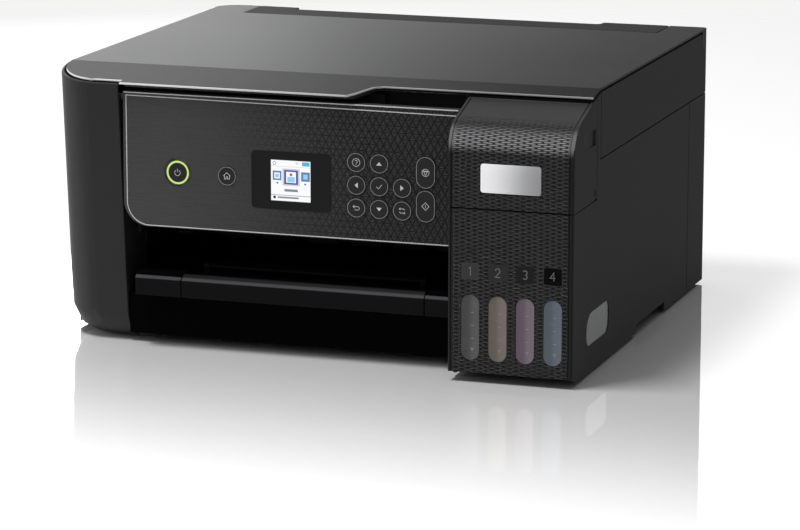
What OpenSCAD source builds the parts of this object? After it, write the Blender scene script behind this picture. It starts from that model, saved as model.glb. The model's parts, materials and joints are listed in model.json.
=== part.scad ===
/* [Body] */
// Width across the two side walls
body_w = 375; // [372:1:390]
// Depth from the tank's front face to the rear wall
body_d = 347; // [345:1:356]
// Height of the closed lid
body_h = 187; // [185:0.5:192]
// Thickness of the outer shells
wall = 2.5; // [2:0.1:3]
// Height of the seam between the base and the scanner unit
seam_z = 140.5; // [139:0.5:144]
// Gap between neighbouring shells
gap = 0.6; // [0.5:0.1:1]
// Corner radius of the shell at the rear right
rear_right_r = 4; // [3:1:20]
// Corner radius of the shell at the rear left
rear_left_r = 20; // [8:1:24]
// Height of the underside of the case floor
floor_z = 6; // [5:0.5:7]
// Height of the bottom edge of the side walls
skirt_z = 2.6; // [1.5:0.1:4]

/* [Top] */
// Distance from the tank's front face back to where the top begins to slope
bend_back = 61.5; // [55:0.5:70]
// Fall of the sloping top, per millimetre of depth
top_slope = 0.193; // [0.15:0.001:0.21]
// Height by which the side rims stay below the lid
rim_drop = 1.5; // [1:0.1:2]
// Thickness of the side rims round the lid
rim_t = 1.6; // [1.4:0.1:1.8]
// Thickness of the lid at its edge
lid_t = 6; // [5.5:0.5:6.5]
// Distance from the tank's front face back to the lid's long front edge
lid_front_back = 24; // [23:0.5:26]
// Depth by which the lid is cut back for the fingers
lid_cut = 20; // [19.8:0.1:21]
// Start of the lid's cut, right of the middle
lid_cut_x = 24; // [15:1:28]
// Width of the curve into the lid's cut
lid_cut_w = 20; // [15:1:24]
// Radius of the lid's front left corner
lid_corner_r = 30; // [26:1:32]
// Distance of the lid's hinge from the rear face
lid_hinge_in = 6.5; // [6:0.5:8]
// Depth of the lid's hinge below the top
lid_hinge_down = 7.5; // [7:0.5:8.5]

/* [Left column] */
// Width of the front left column
column_w = 51.5; // [48:0.5:54]
// Corner radius of the column
column_r = 32; // [29:1:36]
// Setback of the column's top behind the tank's front face
column_back = 24; // [23:0.5:26]
// Setback of the column's lean between its top and its foot
column_lean = 11; // [8:0.5:13]
// Depth of the column from its front face
column_d = 49; // [45:1:55]

/* [Control panel] */
// Gap at each end of the control panel
panel_side_gap = 1.8; // [1.5:0.1:2.2]
// Height of the control panel
panel_h = 91; // [88:0.5:92]
// Thickness of the control panel
panel_t = 8; // [7.5:0.1:8.5]
// Distance of the panel's top edge below the lid's top
panel_down = 13.5; // [13:0.1:14]
// Setback of the panel's face behind the tank's front face
panel_back = 28.5; // [28:0.5:29]
// Radius of the panel's lower left corner
panel_corner_r = 17; // [10:1:22]
// Radius of the panel's hinge pins
panel_pin_r = 2.2; // [2:0.1:2.4]
// Radius of a round button
button_r = 6.2; // [5.8:0.1:6.4]
// Half width of an oblong button
long_button_r = 6.4; // [6:0.1:6.7]
// Length of an oblong button
long_button_h = 20.8; // [18:0.2:22]
// Sideways spacing of the round buttons
button_pitch_x = 15.9; // [15:0.1:16.5]
// Upright spacing of the round buttons
button_pitch_z = 15.2; // [14.5:0.1:16]
// Clearance round a button
button_gap = 0.3; // [0.2:0.05:0.4]
// Height by which a button stands proud of the panel
button_proud = 0.5; // [0.3:0.1:0.8]
// Width of the display window
display_w = 56; // [52:0.5:60]
// Height of the display window
display_h = 38.8; // [36:0.2:42]

/* [Ink tanks] */
// Width of the tank unit
tank_w = 84.2; // [82:0.1:88]
// Height of the seam between the tank front and the ink cover
tank_seam_z = 114.5; // [113:0.5:117]
// Spacing of the four tanks
tank_pitch = 18.5; // [18.2:0.1:18.8]
// Clear space between two tanks
tank_space = 1.2; // [0.8:0.1:1.6]
// Clear space between the ink tanks and the print chassis
tank_back_gap = 4.6; // [3:0.2:10]
// Wall of an ink tank
tank_wall = 1.6; // [1.2:0.1:2]
// Width of a level window
window_w = 12.6; // [10:0.1:13.5]
// Height of a level window
window_h = 43.7; // [38:0.1:46]
// Height of the foot of a level window
window_z = 14.6; // [14:0.1:18]
// Radius of the ink cover's front top edge
cover_r = 22; // [18:0.5:26]
// Fall of the ink cover's top, per millimetre of depth
cover_slope = 0.3; // [0.26:0.01:0.34]
// Distance of the ink cover's hinge from its face
cover_hinge_back = 44; // [43.5:0.1:44.2]
// Radius of the ink cover's hinge rod
cover_rod_r = 1.6; // [1.4:0.05:1.7]
// Outer radius of a filling neck
neck_r = 5.5; // [5:0.1:6]
// Width of the badge
badge_w = 41; // [36:0.5:44]
// Height of the badge
badge_h = 19.5; // [16:0.5:21]

/* [Paper path] */
// Height of the underside of the tray's bar
bar_z = 36; // [35:0.5:38]
// Height of the tray's bar
bar_h = 15.4; // [14:0.2:16]
// Distance of the output tray from the column
tray_left = 44.3; // [40:0.1:50]
// Distance of the output tray from the tank unit
tray_right = 24; // [20:0.1:28]
// Depth of the output tray
tray_d = 150; // [130:1:156]
// Travel of the output tray
tray_travel = 110; // [90:1:115]
// Travel of the tray extension
extension_travel = 80; // [70:1:90]
// Radius of the feed roller
feed_r = 6; // [5.5:0.1:6.5]
// Radius of the eject roller
eject_r = 5; // [4.5:0.1:5.5]
// Radius of a roller shaft
shaft_r = 3; // [2.5:0.1:3.2]
// Radial clearance of a running fit
fit = 0.06; // [0.03:0.01:0.09]
// Height of the paper's path over the platen
path_z = 64; // [63:0.5:66]
// Lean of the paper support from upright, in degrees
support_lean = 15; // [12:0.5:16]
// Travel of the paper support
support_travel = 70; // [50:1:72]
// Width of the lid's ear beside the paper support, on the left
ear_left_w = 32.5; // [31:0.5:36]
// Width of the lid's ear beside the paper support, on the right
ear_right_w = 28.5; // [27:0.5:32]
// Depth of the paper support's cap
cap_d = 36.5; // [34:0.5:37]
// Travel of one edge guide
guide_travel = 52; // [40:1:54]
// Radius of the pickup roller
pickup_r = 11; // [10:0.5:12]

/* [Print mechanism] */
// Radius of the guide rod
rod_r = 4; // [3.5:0.1:4.5]
// Width of the print carriage
carriage_w = 88; // [80:1:90]
// Radius of the belt pulleys
pulley_r = 6; // [5:0.1:7]
// Thickness of the drive belt
belt_t = 1.2; // [1:0.1:1.5]
// Diameter of the two motors
motor_dia = 26; // [22:1:30]

/* [Scanner] */
// Distance of the scanner glass from the column
glass_left = 2.5; // [2:0.5:5]
// Distance of the scanner glass from the right side
glass_right = 17; // [16.5:0.5:19]
// Distance of the scanner glass from the front of the slope
glass_front = -5; // [-6:0.5:-3]
// Distance of the scanner glass from the rear face
glass_back = 68.5; // [67:0.5:74]
// Thickness of the scanner glass
glass_t = 3; // [2:0.1:3.2]
// Width of the sensor bar
sensor_w = 16; // [12:0.5:20]
// Distance of the scanner unit's hinge from the rear face
unit_hinge_in = 6; // [5.8:0.1:7]
// Radius of the hinge pins
hinge_pin_r = 2.5; // [2:0.1:3]

/* [Hidden] */
$fn = 96;

// Outer faces
x_left = -body_w / 2;
x_right = body_w / 2;
y_front = -body_d / 2;
y_rear = body_d / 2;
far = 400;

// Top surface
bend_y = y_front + bend_back;
lid_front_y = y_front + lid_front_back;
lid_cut_y = lid_front_y + lid_cut;
lid_inset = rim_t + gap + 0.3;
side_drop = 2.7;
lip_t = 1.4;
lip_deep = 9;
function top_z(y) = body_h + top_slope * min(0, y - bend_y);

// Column, tank unit and panel
column_x = x_left + column_w;
column_y = y_front + column_back;
column_rear_y = column_y + column_d;
tank_x = x_right - tank_w;
tank_edge_r = 1.8;
front_edge_z = floor_z + 0.4;
seam_gap = 0.3;
flange_w = 1.8;
groove_w = 0.6;
side_seam_x = x_right - wall;
front_wall_y = y_front + 38.5;
panel_y = y_front + panel_back;
panel_rear_y = panel_y + panel_t;
panel_x1 = tank_x - panel_side_gap;
panel_x0 = column_x + panel_side_gap;
panel_top_z = body_h - panel_down;
panel_z0 = panel_top_z - panel_h;
panel_axis_y = panel_y + panel_t / 2;
panel_axis_z = panel_top_z - 4.5;
pin_boss_r = panel_pin_r + fit + 2;

// Ink cover
cover_y = y_front;
cover_axis_y = y_front + cover_hinge_back;
cover_drop = 3.7;
cover_skin = 4;
cover_deg = atan(cover_slope);
cover_axis_z = top_z(cover_axis_y) - cover_drop - cover_skin;
cover_lip_r = cover_skin * cos(cover_deg);
function cover_top(y) = cover_axis_z + cover_skin + cover_slope * (y - cover_axis_y);
cheek_back = 10.5;
cover_cheek_y = cover_axis_y + cheek_back;
cover_z = tank_seam_z + gap;
side_cover_y = cover_cheek_y + 0.4;
unit_side_y = bend_y + 2;

// Print chassis, set out from the feed roller
feed_y = y_rear - 129.5;
chassis_y0 = feed_y - 88;

// Ink tanks
tank_mid_x = (tank_x + x_right) / 2 + 1;
tank_body_w = tank_pitch - tank_space;
tank_front_y = y_front + wall + 0.4;
tank_d = chassis_y0 - tank_back_gap - tank_front_y;
tank_floor_z = floor_z + wall + 2;
tank_top_z = tank_seam_z - 17;
neck_y = y_front + 16;
neck_top_z = tank_seam_z + 6;
deck_z = tank_seam_z - 5;
port_r = 1.7;
cap_axis_y = neck_y + neck_r + 7;
cap_axis_z = neck_top_z + 2.4;
function tank_mid(i) = tank_mid_x + (i - 1.5) * tank_pitch;

// Scanner unit
unit_axis_y = y_rear - unit_hinge_in;
unit_axis_z = seam_z + 5.6;
unit_edge_r = unit_axis_z - seam_z - 0.2;
unit_front_y = cover_axis_y + 5;
glass_x0 = column_x + glass_left;
glass_x1 = x_right - glass_right;
glass_w = glass_x1 - glass_x0;
glass_y0 = bend_y + glass_front;
glass_y1 = y_rear - glass_back;
glass_d = glass_y1 - glass_y0;
finger_y = bend_y - 6;
finger_x = lid_cut_x + lid_cut_w;
unit_inner_x1 = x_right - wall - 1;
lid_axis_y = y_rear - lid_hinge_in;
lid_axis_z = body_h - lid_hinge_down;
ear_r = norm([y_rear - lid_axis_y, 5]);
ear_y = lid_axis_y - ear_r;
well_r = ear_r + gap;
well_y = lid_axis_y - well_r;
well_z = lid_axis_z - well_r;
lid_pin_r = 2;
deck_top_z = body_h - lid_t - 1.4;
glass_z = deck_top_z - glass_t - 0.2;

// Paper support
cap_w = body_w - ear_left_w - ear_right_w;
cap_x = (ear_left_w - ear_right_w) / 2;
cap_y0 = y_rear - cap_d;
cap_t = 6;
guide_x = body_w / 2 - 80.5;
support_w = 2 * (guide_x - 9);
support_t = 2.4;
support_len = 84;
support_y = y_rear - 10.5;
support_z = body_h - cap_t;
support_rise = [0, sin(support_lean), cos(support_lean)];

// Paper path
feed_z = path_z - feed_r;
eject_y = feed_y - 76;
eject_z = path_z - eject_r;
bar_y = y_front + 24;
bar_t = 6.5;
tray_x0 = column_x + tray_left;
tray_w = tank_x - tray_right - tray_x0;
tray_x = tray_x0 + tray_w / 2;
tray_z = bar_z + 8;
tray_t = 3.4;
bar_x0 = column_x + 11;
bar_x1 = tank_x - 6.3;
guide_t = 2.4;
pickup_y = y_rear - 73.5;
roller_pitch = (guide_x - 11) / 3;
sleeve_w = roller_pitch * 0.7;
pickup_z = 86;

// Print mechanism
chassis_x = x_right - 11.5;
chassis_t = 2;
rail_y = feed_y + 8;
rod_y = feed_y - 32;
rod_z = 106;
carriage_x = chassis_x - 8 - carriage_w / 2;
carriage_y0 = rod_y - 34;
carriage_y1 = rod_y + 30;
carriage_z0 = path_z + 3;
carriage_z1 = 130;
chassis_z = 36;
chassis_top_z = seam_z - 13;
pulley_x = chassis_x - 16;
pulley_z = 118;
belt_y = feed_y;
belt_w = 5;

module block(x0, x1, y0, y1, z0, z1) {
    translate([x0, y0, z0]) cube([x1 - x0, y1 - y0, z1 - z0]);
}

module rodX(x0, x1, y, z, r) {
    translate([x0, y, z]) rotate([0, 90, 0]) cylinder(r = r, h = x1 - x0);
}

module rodY(x, y0, y1, z, r) {
    translate([x, y0, z]) rotate([-90, 0, 0]) cylinder(r = r, h = y1 - y0);
}

module rodZ(x, y, z0, z1, r) {
    translate([x, y, z0]) cylinder(r = r, h = z1 - z0);
}

// Extrudes an outline drawn in (y, z) from x0 to x1
module alongX(x0, x1) {
    translate([x0, 0, 0]) rotate([90, 0, 90]) linear_extrude(x1 - x0) children();
}

// Extrudes an outline drawn in (x, z) from y0 to y1
module alongY(y0, y1) {
    translate([0, y1, 0]) rotate([90, 0, 0]) linear_extrude(y1 - y0) children();
}

// What a rounded corner takes off a square one
module cornerOff(x, y, r, turn) {
    translate([x, y]) rotate(turn) difference() {
        translate([-1, -1]) square(r + 1);
        translate([r, r]) circle(r = r);
    }
}

// A rectangle with its own radius at each corner, from the lower left one round to the right
module roundedRect(x0, x1, y0, y1, radii) {
    difference() {
        translate([x0, y0]) square([x1 - x0, y1 - y0]);
        if (radii[0] > 0) cornerOff(x0, y0, radii[0], 0);
        if (radii[1] > 0) cornerOff(x1, y0, radii[1], 90);
        if (radii[2] > 0) cornerOff(x1, y1, radii[2], 180);
        if (radii[3] > 0) cornerOff(x0, y1, radii[3], 270);
    }
}

module stadium(x, z0, z1, r) {
    translate([x - r, z0 + r]) square([2 * r, z1 - z0 - 2 * r]);
    translate([x, z0 + r]) circle(r = r);
    translate([x, z1 - r]) circle(r = r);
}

// The outline of the whole case, seen from above
module casePlan(inset) {
    roundedRect(
        x_left + inset, x_right - inset, y_front + inset, y_rear - inset,
        [column_r - inset, tank_edge_r - inset, rear_right_r - inset, rear_left_r - inset]
    );
}

// Everything above the top surface lowered by drop
module aboveTop(drop) {
    alongX(-far, far) polygon([
        [y_front - 20, top_z(y_front - 20) - drop], [bend_y, body_h - drop],
        [y_rear + 20, body_h - drop], [y_rear + 20, body_h + 60], [y_front - 20, body_h + 60]
    ]);
}

module caseWall(z0, z1) {
    translate([0, 0, z0]) linear_extrude(z1 - z0) difference() {
        casePlan(0);
        casePlan(wall);
    }
}

module lower_case() {
    front_y = front_wall_y;
    inner_x1 = tank_x - gap;
    inner_x0 = column_x + gap;
    rail_z = bar_z + 5.4;
    color("#1b1b1d") difference() {
        union() {
            // floor, cut to the front left of the column and the tanks
            block(x_left + wall, x_right - wall, column_rear_y + gap, y_rear - wall, floor_z, floor_z + wall);
            block(inner_x0, x_right - wall, front_y, column_rear_y + gap, floor_z, floor_z + wall);
            intersection() {
                block(tank_x, x_right, y_front, front_y + 1, floor_z, floor_z + wall);
                linear_extrude(far) tankPlan(wall + 0.1);
            }
            // front wall under the tray
            block(inner_x0, inner_x1, front_y, front_y + wall, floor_z, bar_z - 2);
            block(inner_x0, inner_x1, front_y, front_y + 90, bar_z - 2 - wall, bar_z - 2);
            // fixed ends of the bar and their shelves
            for (span = [[bar_x0, tray_x - tray_w / 2 - gap], [tray_x + tray_w / 2 + gap, bar_x1]]) {
                alongX(span[0], span[1]) barShape();
                block(span[0], span[1], bar_y + 2, front_y + 60, bar_z - 2, bar_z + 3);
                block(span[0], span[1], bar_y + 2, front_y + 60, bar_z + bar_h - 3, bar_z + bar_h);
            }
            // inner side walls of the paper exit
            block(inner_x0, inner_x0 + wall, column_rear_y + gap, eject_y - 18, floor_z, panel_z0);
            block(inner_x1 - wall, inner_x1, front_y + 8, eject_y - 18, floor_z, panel_z0);
            // stands of the print chassis
            for (side = [-1, 1], y = [chassis_y0 + 14, rail_y + 4]) {
                rodZ(side * (chassis_x - 6), y, floor_z, chassis_z, 5);
            }
        }
        // rear corners follow the case
        difference() {
            block(x_left - 1, x_right + 1, y_rear - 60, y_rear + 1, 0, 20);
            translate([0, 0, -1]) linear_extrude(30) casePlan(wall + 0.2);
        }
        // seats of the feet
        for (p = foot_places) rodZ(p[0], p[1], floor_z - 1, floor_z + 1, foot_r + 0.2);
    }
}

foot_r = 8;
foot_places = [
    [x_left + 60, y_front + 62], [x_left + 28, y_rear - 40],
    [x_right - 28, y_rear - 40], [x_right - 40, y_front + 50]
];

module rubber_feet() {
    color("#111111") for (p = foot_places) rodZ(p[0], p[1], 0, floor_z + 1, foot_r);
}

// One level of the column: its setback, the inset of its side and its corner
module columnPlan(front, side, inset) {
    r = column_r - inset;
    x0 = x_left + side + inset;
    intersection() {
        translate([x0 + r, front + inset + r]) circle(r = r, $fn = 64);
        translate([x0, front + inset]) square([r, min(r, column_rear_y - front - inset)]);
    }
    translate([column_x - inset - 1, front + inset]) square([1, 1]);
    translate([x0, column_rear_y - 1]) square([1, 1]);
    translate([column_x - inset - 1, column_rear_y - 1]) square([1, 1]);
}

module columnBody(inset, lift) {
    foot_y = column_y + column_lean;
    hull() {
        translate([0, 0, skirt_z + lift]) linear_extrude(0.1) columnPlan(foot_y + 13, 9, inset);
        translate([0, 0, skirt_z + 4 + lift]) linear_extrude(0.1) columnPlan(foot_y + 8, 4, inset);
        translate([0, 0, skirt_z + 17]) linear_extrude(0.1) columnPlan(foot_y + 2, 0.5, inset);
        translate([0, 0, 46]) linear_extrude(0.1) columnPlan(foot_y, 0, inset);
        translate([0, 0, body_h - 0.1]) linear_extrude(0.1) columnPlan(column_y, 0, inset);
    }
}

module left_column() {
    ledge_z = top_z(column_y) - lid_t - 3;
    color("#232325") difference() {
        union() {
            difference() {
                columnBody(0, 0);
                difference() {
                    columnBody(wall, wall);
                    block(-far, far, -far, far, ledge_z - wall, ledge_z);
                }
                // thin rim above the ledge
                difference() {
                    translate([0, 0, ledge_z]) linear_extrude(far) columnLid();
                    block(-far, far, -far, far, -1, ledge_z);
                }
                aboveTop(rim_drop);
            }
            rodX(column_x - 7, column_x, panel_axis_y, panel_axis_z, pin_boss_r);
        }
        rodX(column_x - 5, column_x + 1, panel_axis_y, panel_axis_z, panel_pin_r + fit);
        // room for the lid's front corner beside the column's rear edge
        block(column_x - wall - 0.5, column_x + 1, column_y + 3, far, ledge_z, far);
    }
}

// The lid's front left corner with its clearance
module columnLid() {
    roundedRect(
        x_left + rim_t, column_x + 20, column_y + 3, column_rear_y + 20,
        [lid_corner_r + lid_inset - rim_t, 0, 0, 0]
    );
}

module right_side_cover() {
    color("#1c1c1e") difference() {
        union() {
            intersection() {
                caseWall(skirt_z, tank_seam_z);
                block(side_seam_x, far, -far, y_rear - 50, -1, far);
            }
            intersection() {
                caseWall(tank_seam_z - 1, seam_z - gap);
                block(x_right - wall - 1, far, side_cover_y, y_rear - 50, -1, far);
            }
            // pillar beside the ink cover
            intersection() {
                caseWall(seam_z - gap - 1, body_h);
                alongX(x_right - wall - 1, far) difference() {
                    translate([cover_axis_y, -1]) square([unit_side_y - 0.4 - cover_axis_y, far]);
                    cheekArea(cheek_back + 0.4);
                }
            }
        }
        aboveTop(side_drop);
        side_window(0);
        // the front edge and a notch along the side are raised off the floor
        alongX(0, far) polygon([
            [y_front - 1, -1], [y_front - 1, front_edge_z], [y_front + 1.5, front_edge_z],
            [y_front + 10, skirt_z], [y_front + 10, -1]
        ]);
        block(0, far, notch_y0, notch_y1, -1, floor_z + wall);
    }
}

tank_rear_y = y_front + 65;
notch_y0 = y_front + 157.5;
notch_y1 = notch_y0 + 77;

module rear_case() {
    color("#1c1c1e") difference() {
        union() {
            intersection() {
                caseWall(skirt_z, seam_z - gap);
                union() {
                    block(-far, -100, column_rear_y + gap, far, -1, far);
                    block(-far, far, y_rear - 50 + gap, far, -1, far);
                }
            }
            // posts of the scanner unit's hinge
            for (side = [-1, 1]) {
                x = side > 0 ? x_right - 32 : x_left + 26;
                block(x, x + 6, unit_axis_y - 4, y_rear - wall / 2, seam_z - 30, seam_z - gap);
                block(x, x + 6, unit_axis_y - 4, y_rear - wall, seam_z - 2, unit_axis_z);
                rodX(x, x + 6, unit_axis_y, unit_axis_z, 4);
                rodX(x + (side > 0 ? 0 : -9), x + (side > 0 ? 15 : 6), unit_axis_y, unit_axis_z, hinge_pin_r);
            }
        }
        block(inlet_x, inlet_x + inlet_w, y_rear - 10, y_rear + 1, inlet_z, inlet_z + inlet_h);
        block(usb_x, usb_x + usb_w, y_rear - 10, y_rear + 1, usb_z, usb_z + usb_h);
        // grooves across the rear wall
        for (i = [0 : 7]) block(-40 + i * 11, -34 + i * 11, y_rear - wall / 2, y_rear + 1, 24, 60);
    }
}

inlet_x = x_left + 24;
inlet_z = 22;
inlet_w = 28;
inlet_h = 24;
usb_x = x_right - 40;
usb_z = 40;
usb_w = 14;
usb_h = 13;

module tank_fascia() {
    color("#1e1e20") difference() {
        intersection() {
            translate([0, 0, skirt_z]) linear_extrude(tank_seam_z - skirt_z) difference() {
                tankPlan(0);
                tankPlan(wall);
            }
            block(tank_x - 1, side_seam_x - seam_gap, -far, tank_rear_y, -1, far);
        }
        // the front edge is raised off the floor
        block(tank_x - 1, far, -far, y_front + 12, -1, front_edge_z);
        block(tank_x - 1, far, front_wall_y - 0.1, far, -1, floor_z + wall + 0.1);
        // fine groove beside the front
        block(tank_x + flange_w, tank_x + flange_w + groove_w, y_front - 1, y_front + groove_deep, -1, far);
        for (i = [0 : 3]) {
            alongY(y_front - 1, y_front + wall + 1)
                stadium(tank_mid(i), window_z, window_z + window_h, window_w / 2);
        }
    }
}

// The whole tank unit, seen from above
module tankPlan(inset) {
    roundedRect(
        tank_x + inset, x_right - inset, y_front + inset, tank_rear_y + 40,
        [tank_edge_r - inset, tank_edge_r - inset, 0, 0]
    );
}

side_window_y = y_front + 33.5;
side_window_w = 54;
side_window_z = 20;
side_window_h = 22;

module side_window(less) {
    alongX(x_right - wall - 1, x_right + 1) roundedRect(
        side_window_y + less, side_window_y + side_window_w - less,
        side_window_z + less, side_window_z + side_window_h - less,
        [8 - less, 8 - less, 6 - less, 12 - less]
    );
}

module tank_frame() {
    wall_y0 = y_front + 24.2;
    wall_top = cover_axis_z - 1.6;
    color("#202022") difference() {
        union() {
            // deck over the tanks
            translate([0, 0, deck_z]) linear_extrude(wall) intersection() {
                tankPlan(wall + 0.2);
                translate([tank_x, y_front]) square([tank_w, tank_rear_y - 2 - y_front]);
            }
            // fixed inner wall behind the panel's end
            block(tank_x, tank_x + wall, wall_y0, unit_front_y - gap, tank_seam_z + 0.4, wall_top);
            block(tank_x, tank_x + wall, wall_y0, tank_rear_y - 4, tank_seam_z + 0.4, seam_z - 1);
            block(tank_x, tank_x + 8, tank_rear_y - 10, tank_rear_y - 4, tank_seam_z + 0.4, seam_z - 1);
            block(tank_x + wall + 0.2, tank_x + wall + 2, wall_y0, tank_rear_y - 4, deck_z, tank_seam_z + 6);
            block(tank_x + 1, tank_x + wall + 2, wall_y0, tank_rear_y - 4, tank_seam_z + 0.4, tank_seam_z + 6);
            rodX(tank_x, tank_x + 7, panel_axis_y, panel_axis_z, pin_boss_r);
            // posts of the ink cover's hinge
            for (x = [tank_x + 11, x_right - 16]) {
                block(x, x + 5, cover_axis_y - 2, cover_axis_y + 2, deck_z, cover_axis_z);
                block(x, x + 5, cover_axis_y - 2, cover_axis_y + 14, deck_z, deck_z + 30);
                rodX(x, x + 5, cover_axis_y, cover_axis_z, cover_rod_r + fit + 0.9);
            }
            // lugs and pins of the caps
            for (i = [0 : 3]) {
                x = tank_mid(i);
                block(x - 2.5, x + 2.5, cap_axis_y - 1.4, cap_axis_y + 1.4, deck_z, cap_axis_z);
                rodX(x - 5.5, x + 5.5, cap_axis_y, cap_axis_z, 1);
            }
            // cross wall behind the caps
            block(tank_x + wall + 2, x_right - wall - 0.4, tank_rear_y - 6, tank_rear_y - 4,
                deck_z, seam_z - 1);
        }
        // the inner wall stays below the skin of the ink cover
        alongX(tank_x - 1, tank_x + wall + 0.1) difference() {
            translate([y_front, tank_seam_z]) square([cover_hinge_back - 0.1, far]);
            coverProfile(wall + 0.5);
        }
        rodX(tank_x - 1, tank_x + 5, panel_axis_y, panel_axis_z, panel_pin_r + fit);
        for (x = [tank_x + 10, x_right - 17]) {
            rodX(x, x + 7, cover_axis_y, cover_axis_z, cover_rod_r + fit);
        }
        for (i = [0 : 3]) rodZ(tank_mid(i), neck_y, deck_z - 1, deck_z + wall + 1, neck_r + 0.4);
    }
}

module inkTank(i, tint) {
    x = tank_mid(i);
    half = tank_body_w / 2;
    y1 = tank_front_y + tank_d;
    color(tint) difference() {
        union() {
            block(x - half, x + half, tank_front_y, y1, tank_floor_z, tank_top_z);
            rodZ(x, neck_y, tank_top_z, neck_top_z, neck_r);
            alongY(y_front + 0.4, tank_front_y + 0.1)
                stadium(x, window_z + 0.2, window_z + window_h - 0.2, window_w / 2 - 0.2);
        }
        block(
            x - half + tank_wall, x + half - tank_wall, tank_front_y + tank_wall, y1 - tank_wall,
            tank_floor_z + tank_wall, tank_top_z - tank_wall
        );
        rodZ(x, neck_y, tank_top_z - tank_wall - 1, neck_top_z + 1, port_r);
    }
}

module ink_tank_black() {
    inkTank(0, "#8b8d8f");
}

module ink_tank_yellow() {
    inkTank(1, "#a89a80");
}

module ink_tank_magenta() {
    inkTank(2, "#8a7480");
}

module ink_tank_cyan() {
    inkTank(3, "#6a8698");
    // level window in the side of the unit
    color("#6a8698") difference() {
        union() {
            intersection() {
                side_window(0.2);
                block(0, x_right - 0.4, -far, far, 0, far);
            }
            block(
                tank_mid(3) + tank_body_w / 2, x_right - wall - 0.3, side_window_y + 1,
                side_window_y + side_window_w - 1, side_window_z + 1, side_window_z + side_window_h - 1
            );
        }
        block(0, tank_mid(3) + tank_body_w / 2, -far, far, 0, far);
    }
}

module tankCap(i, tint) {
    x = tank_mid(i);
    lever_y = cap_axis_y;
    color(tint) difference() {
        union() {
            block(x - 6.5, x + 6.5, neck_y - neck_r - 3, lever_y, neck_top_z + 0.4, neck_top_z + 4.4);
            rodX(x - 6.5, x + 6.5, lever_y, cap_axis_z, 2);
            rodZ(x, neck_y, neck_top_z - 1.2, neck_top_z + 1, port_r - 0.5);
        }
        rodX(x - 7, x + 7, lever_y, cap_axis_z, 1 + fit);
        block(x - 3, x + 3, lever_y - 2.6, lever_y + 3, neck_top_z, neck_top_z + 5);
    }
}

module cap_black() {
    tankCap(0, "#2a2a2c");
}

module cap_yellow() {
    tankCap(1, "#c2a21c");
}

module cap_magenta() {
    tankCap(2, "#a03060");
}

module cap_cyan() {
    tankCap(3, "#1c82aa");
}

// The ink cover's outline in (y, z), moved inwards by inset
module coverProfile(inset) {
    cy = y_front + cover_r;
    cz = cover_top(cy) - cover_r / cos(cover_deg);
    r = cover_r - inset;
    lip = cover_lip_r - min(inset, 1.2);
    tangent = [cy - r * sin(cover_deg), cz + r * cos(cover_deg)];
    rear = [cover_axis_y - lip * sin(cover_deg), cover_axis_z + lip * cos(cover_deg)];
    polygon([
        [y_front + inset, tank_seam_z - 20], [y_front + inset, cz], [cy, cz], tangent, rear,
        [cover_axis_y, cover_axis_z], [cover_axis_y, tank_seam_z - 20]
    ]);
    intersection() {
        translate([cy, cz]) circle(r = r);
        translate([y_front, cz]) square([cover_r, cover_r + 1]);
    }
}

// Side view of the room that the right cheek turns in: flat below its hinge, round above it
module cheekArea(back) {
    translate([cover_axis_y, cover_axis_z]) circle(r = back);
    translate([y_front - 1, -1]) square([cover_axis_y + back - y_front + 1, cover_axis_z + 1]);
    translate([y_front - 1, -1]) square([cover_axis_y - y_front + 1, far]);
}

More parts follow.
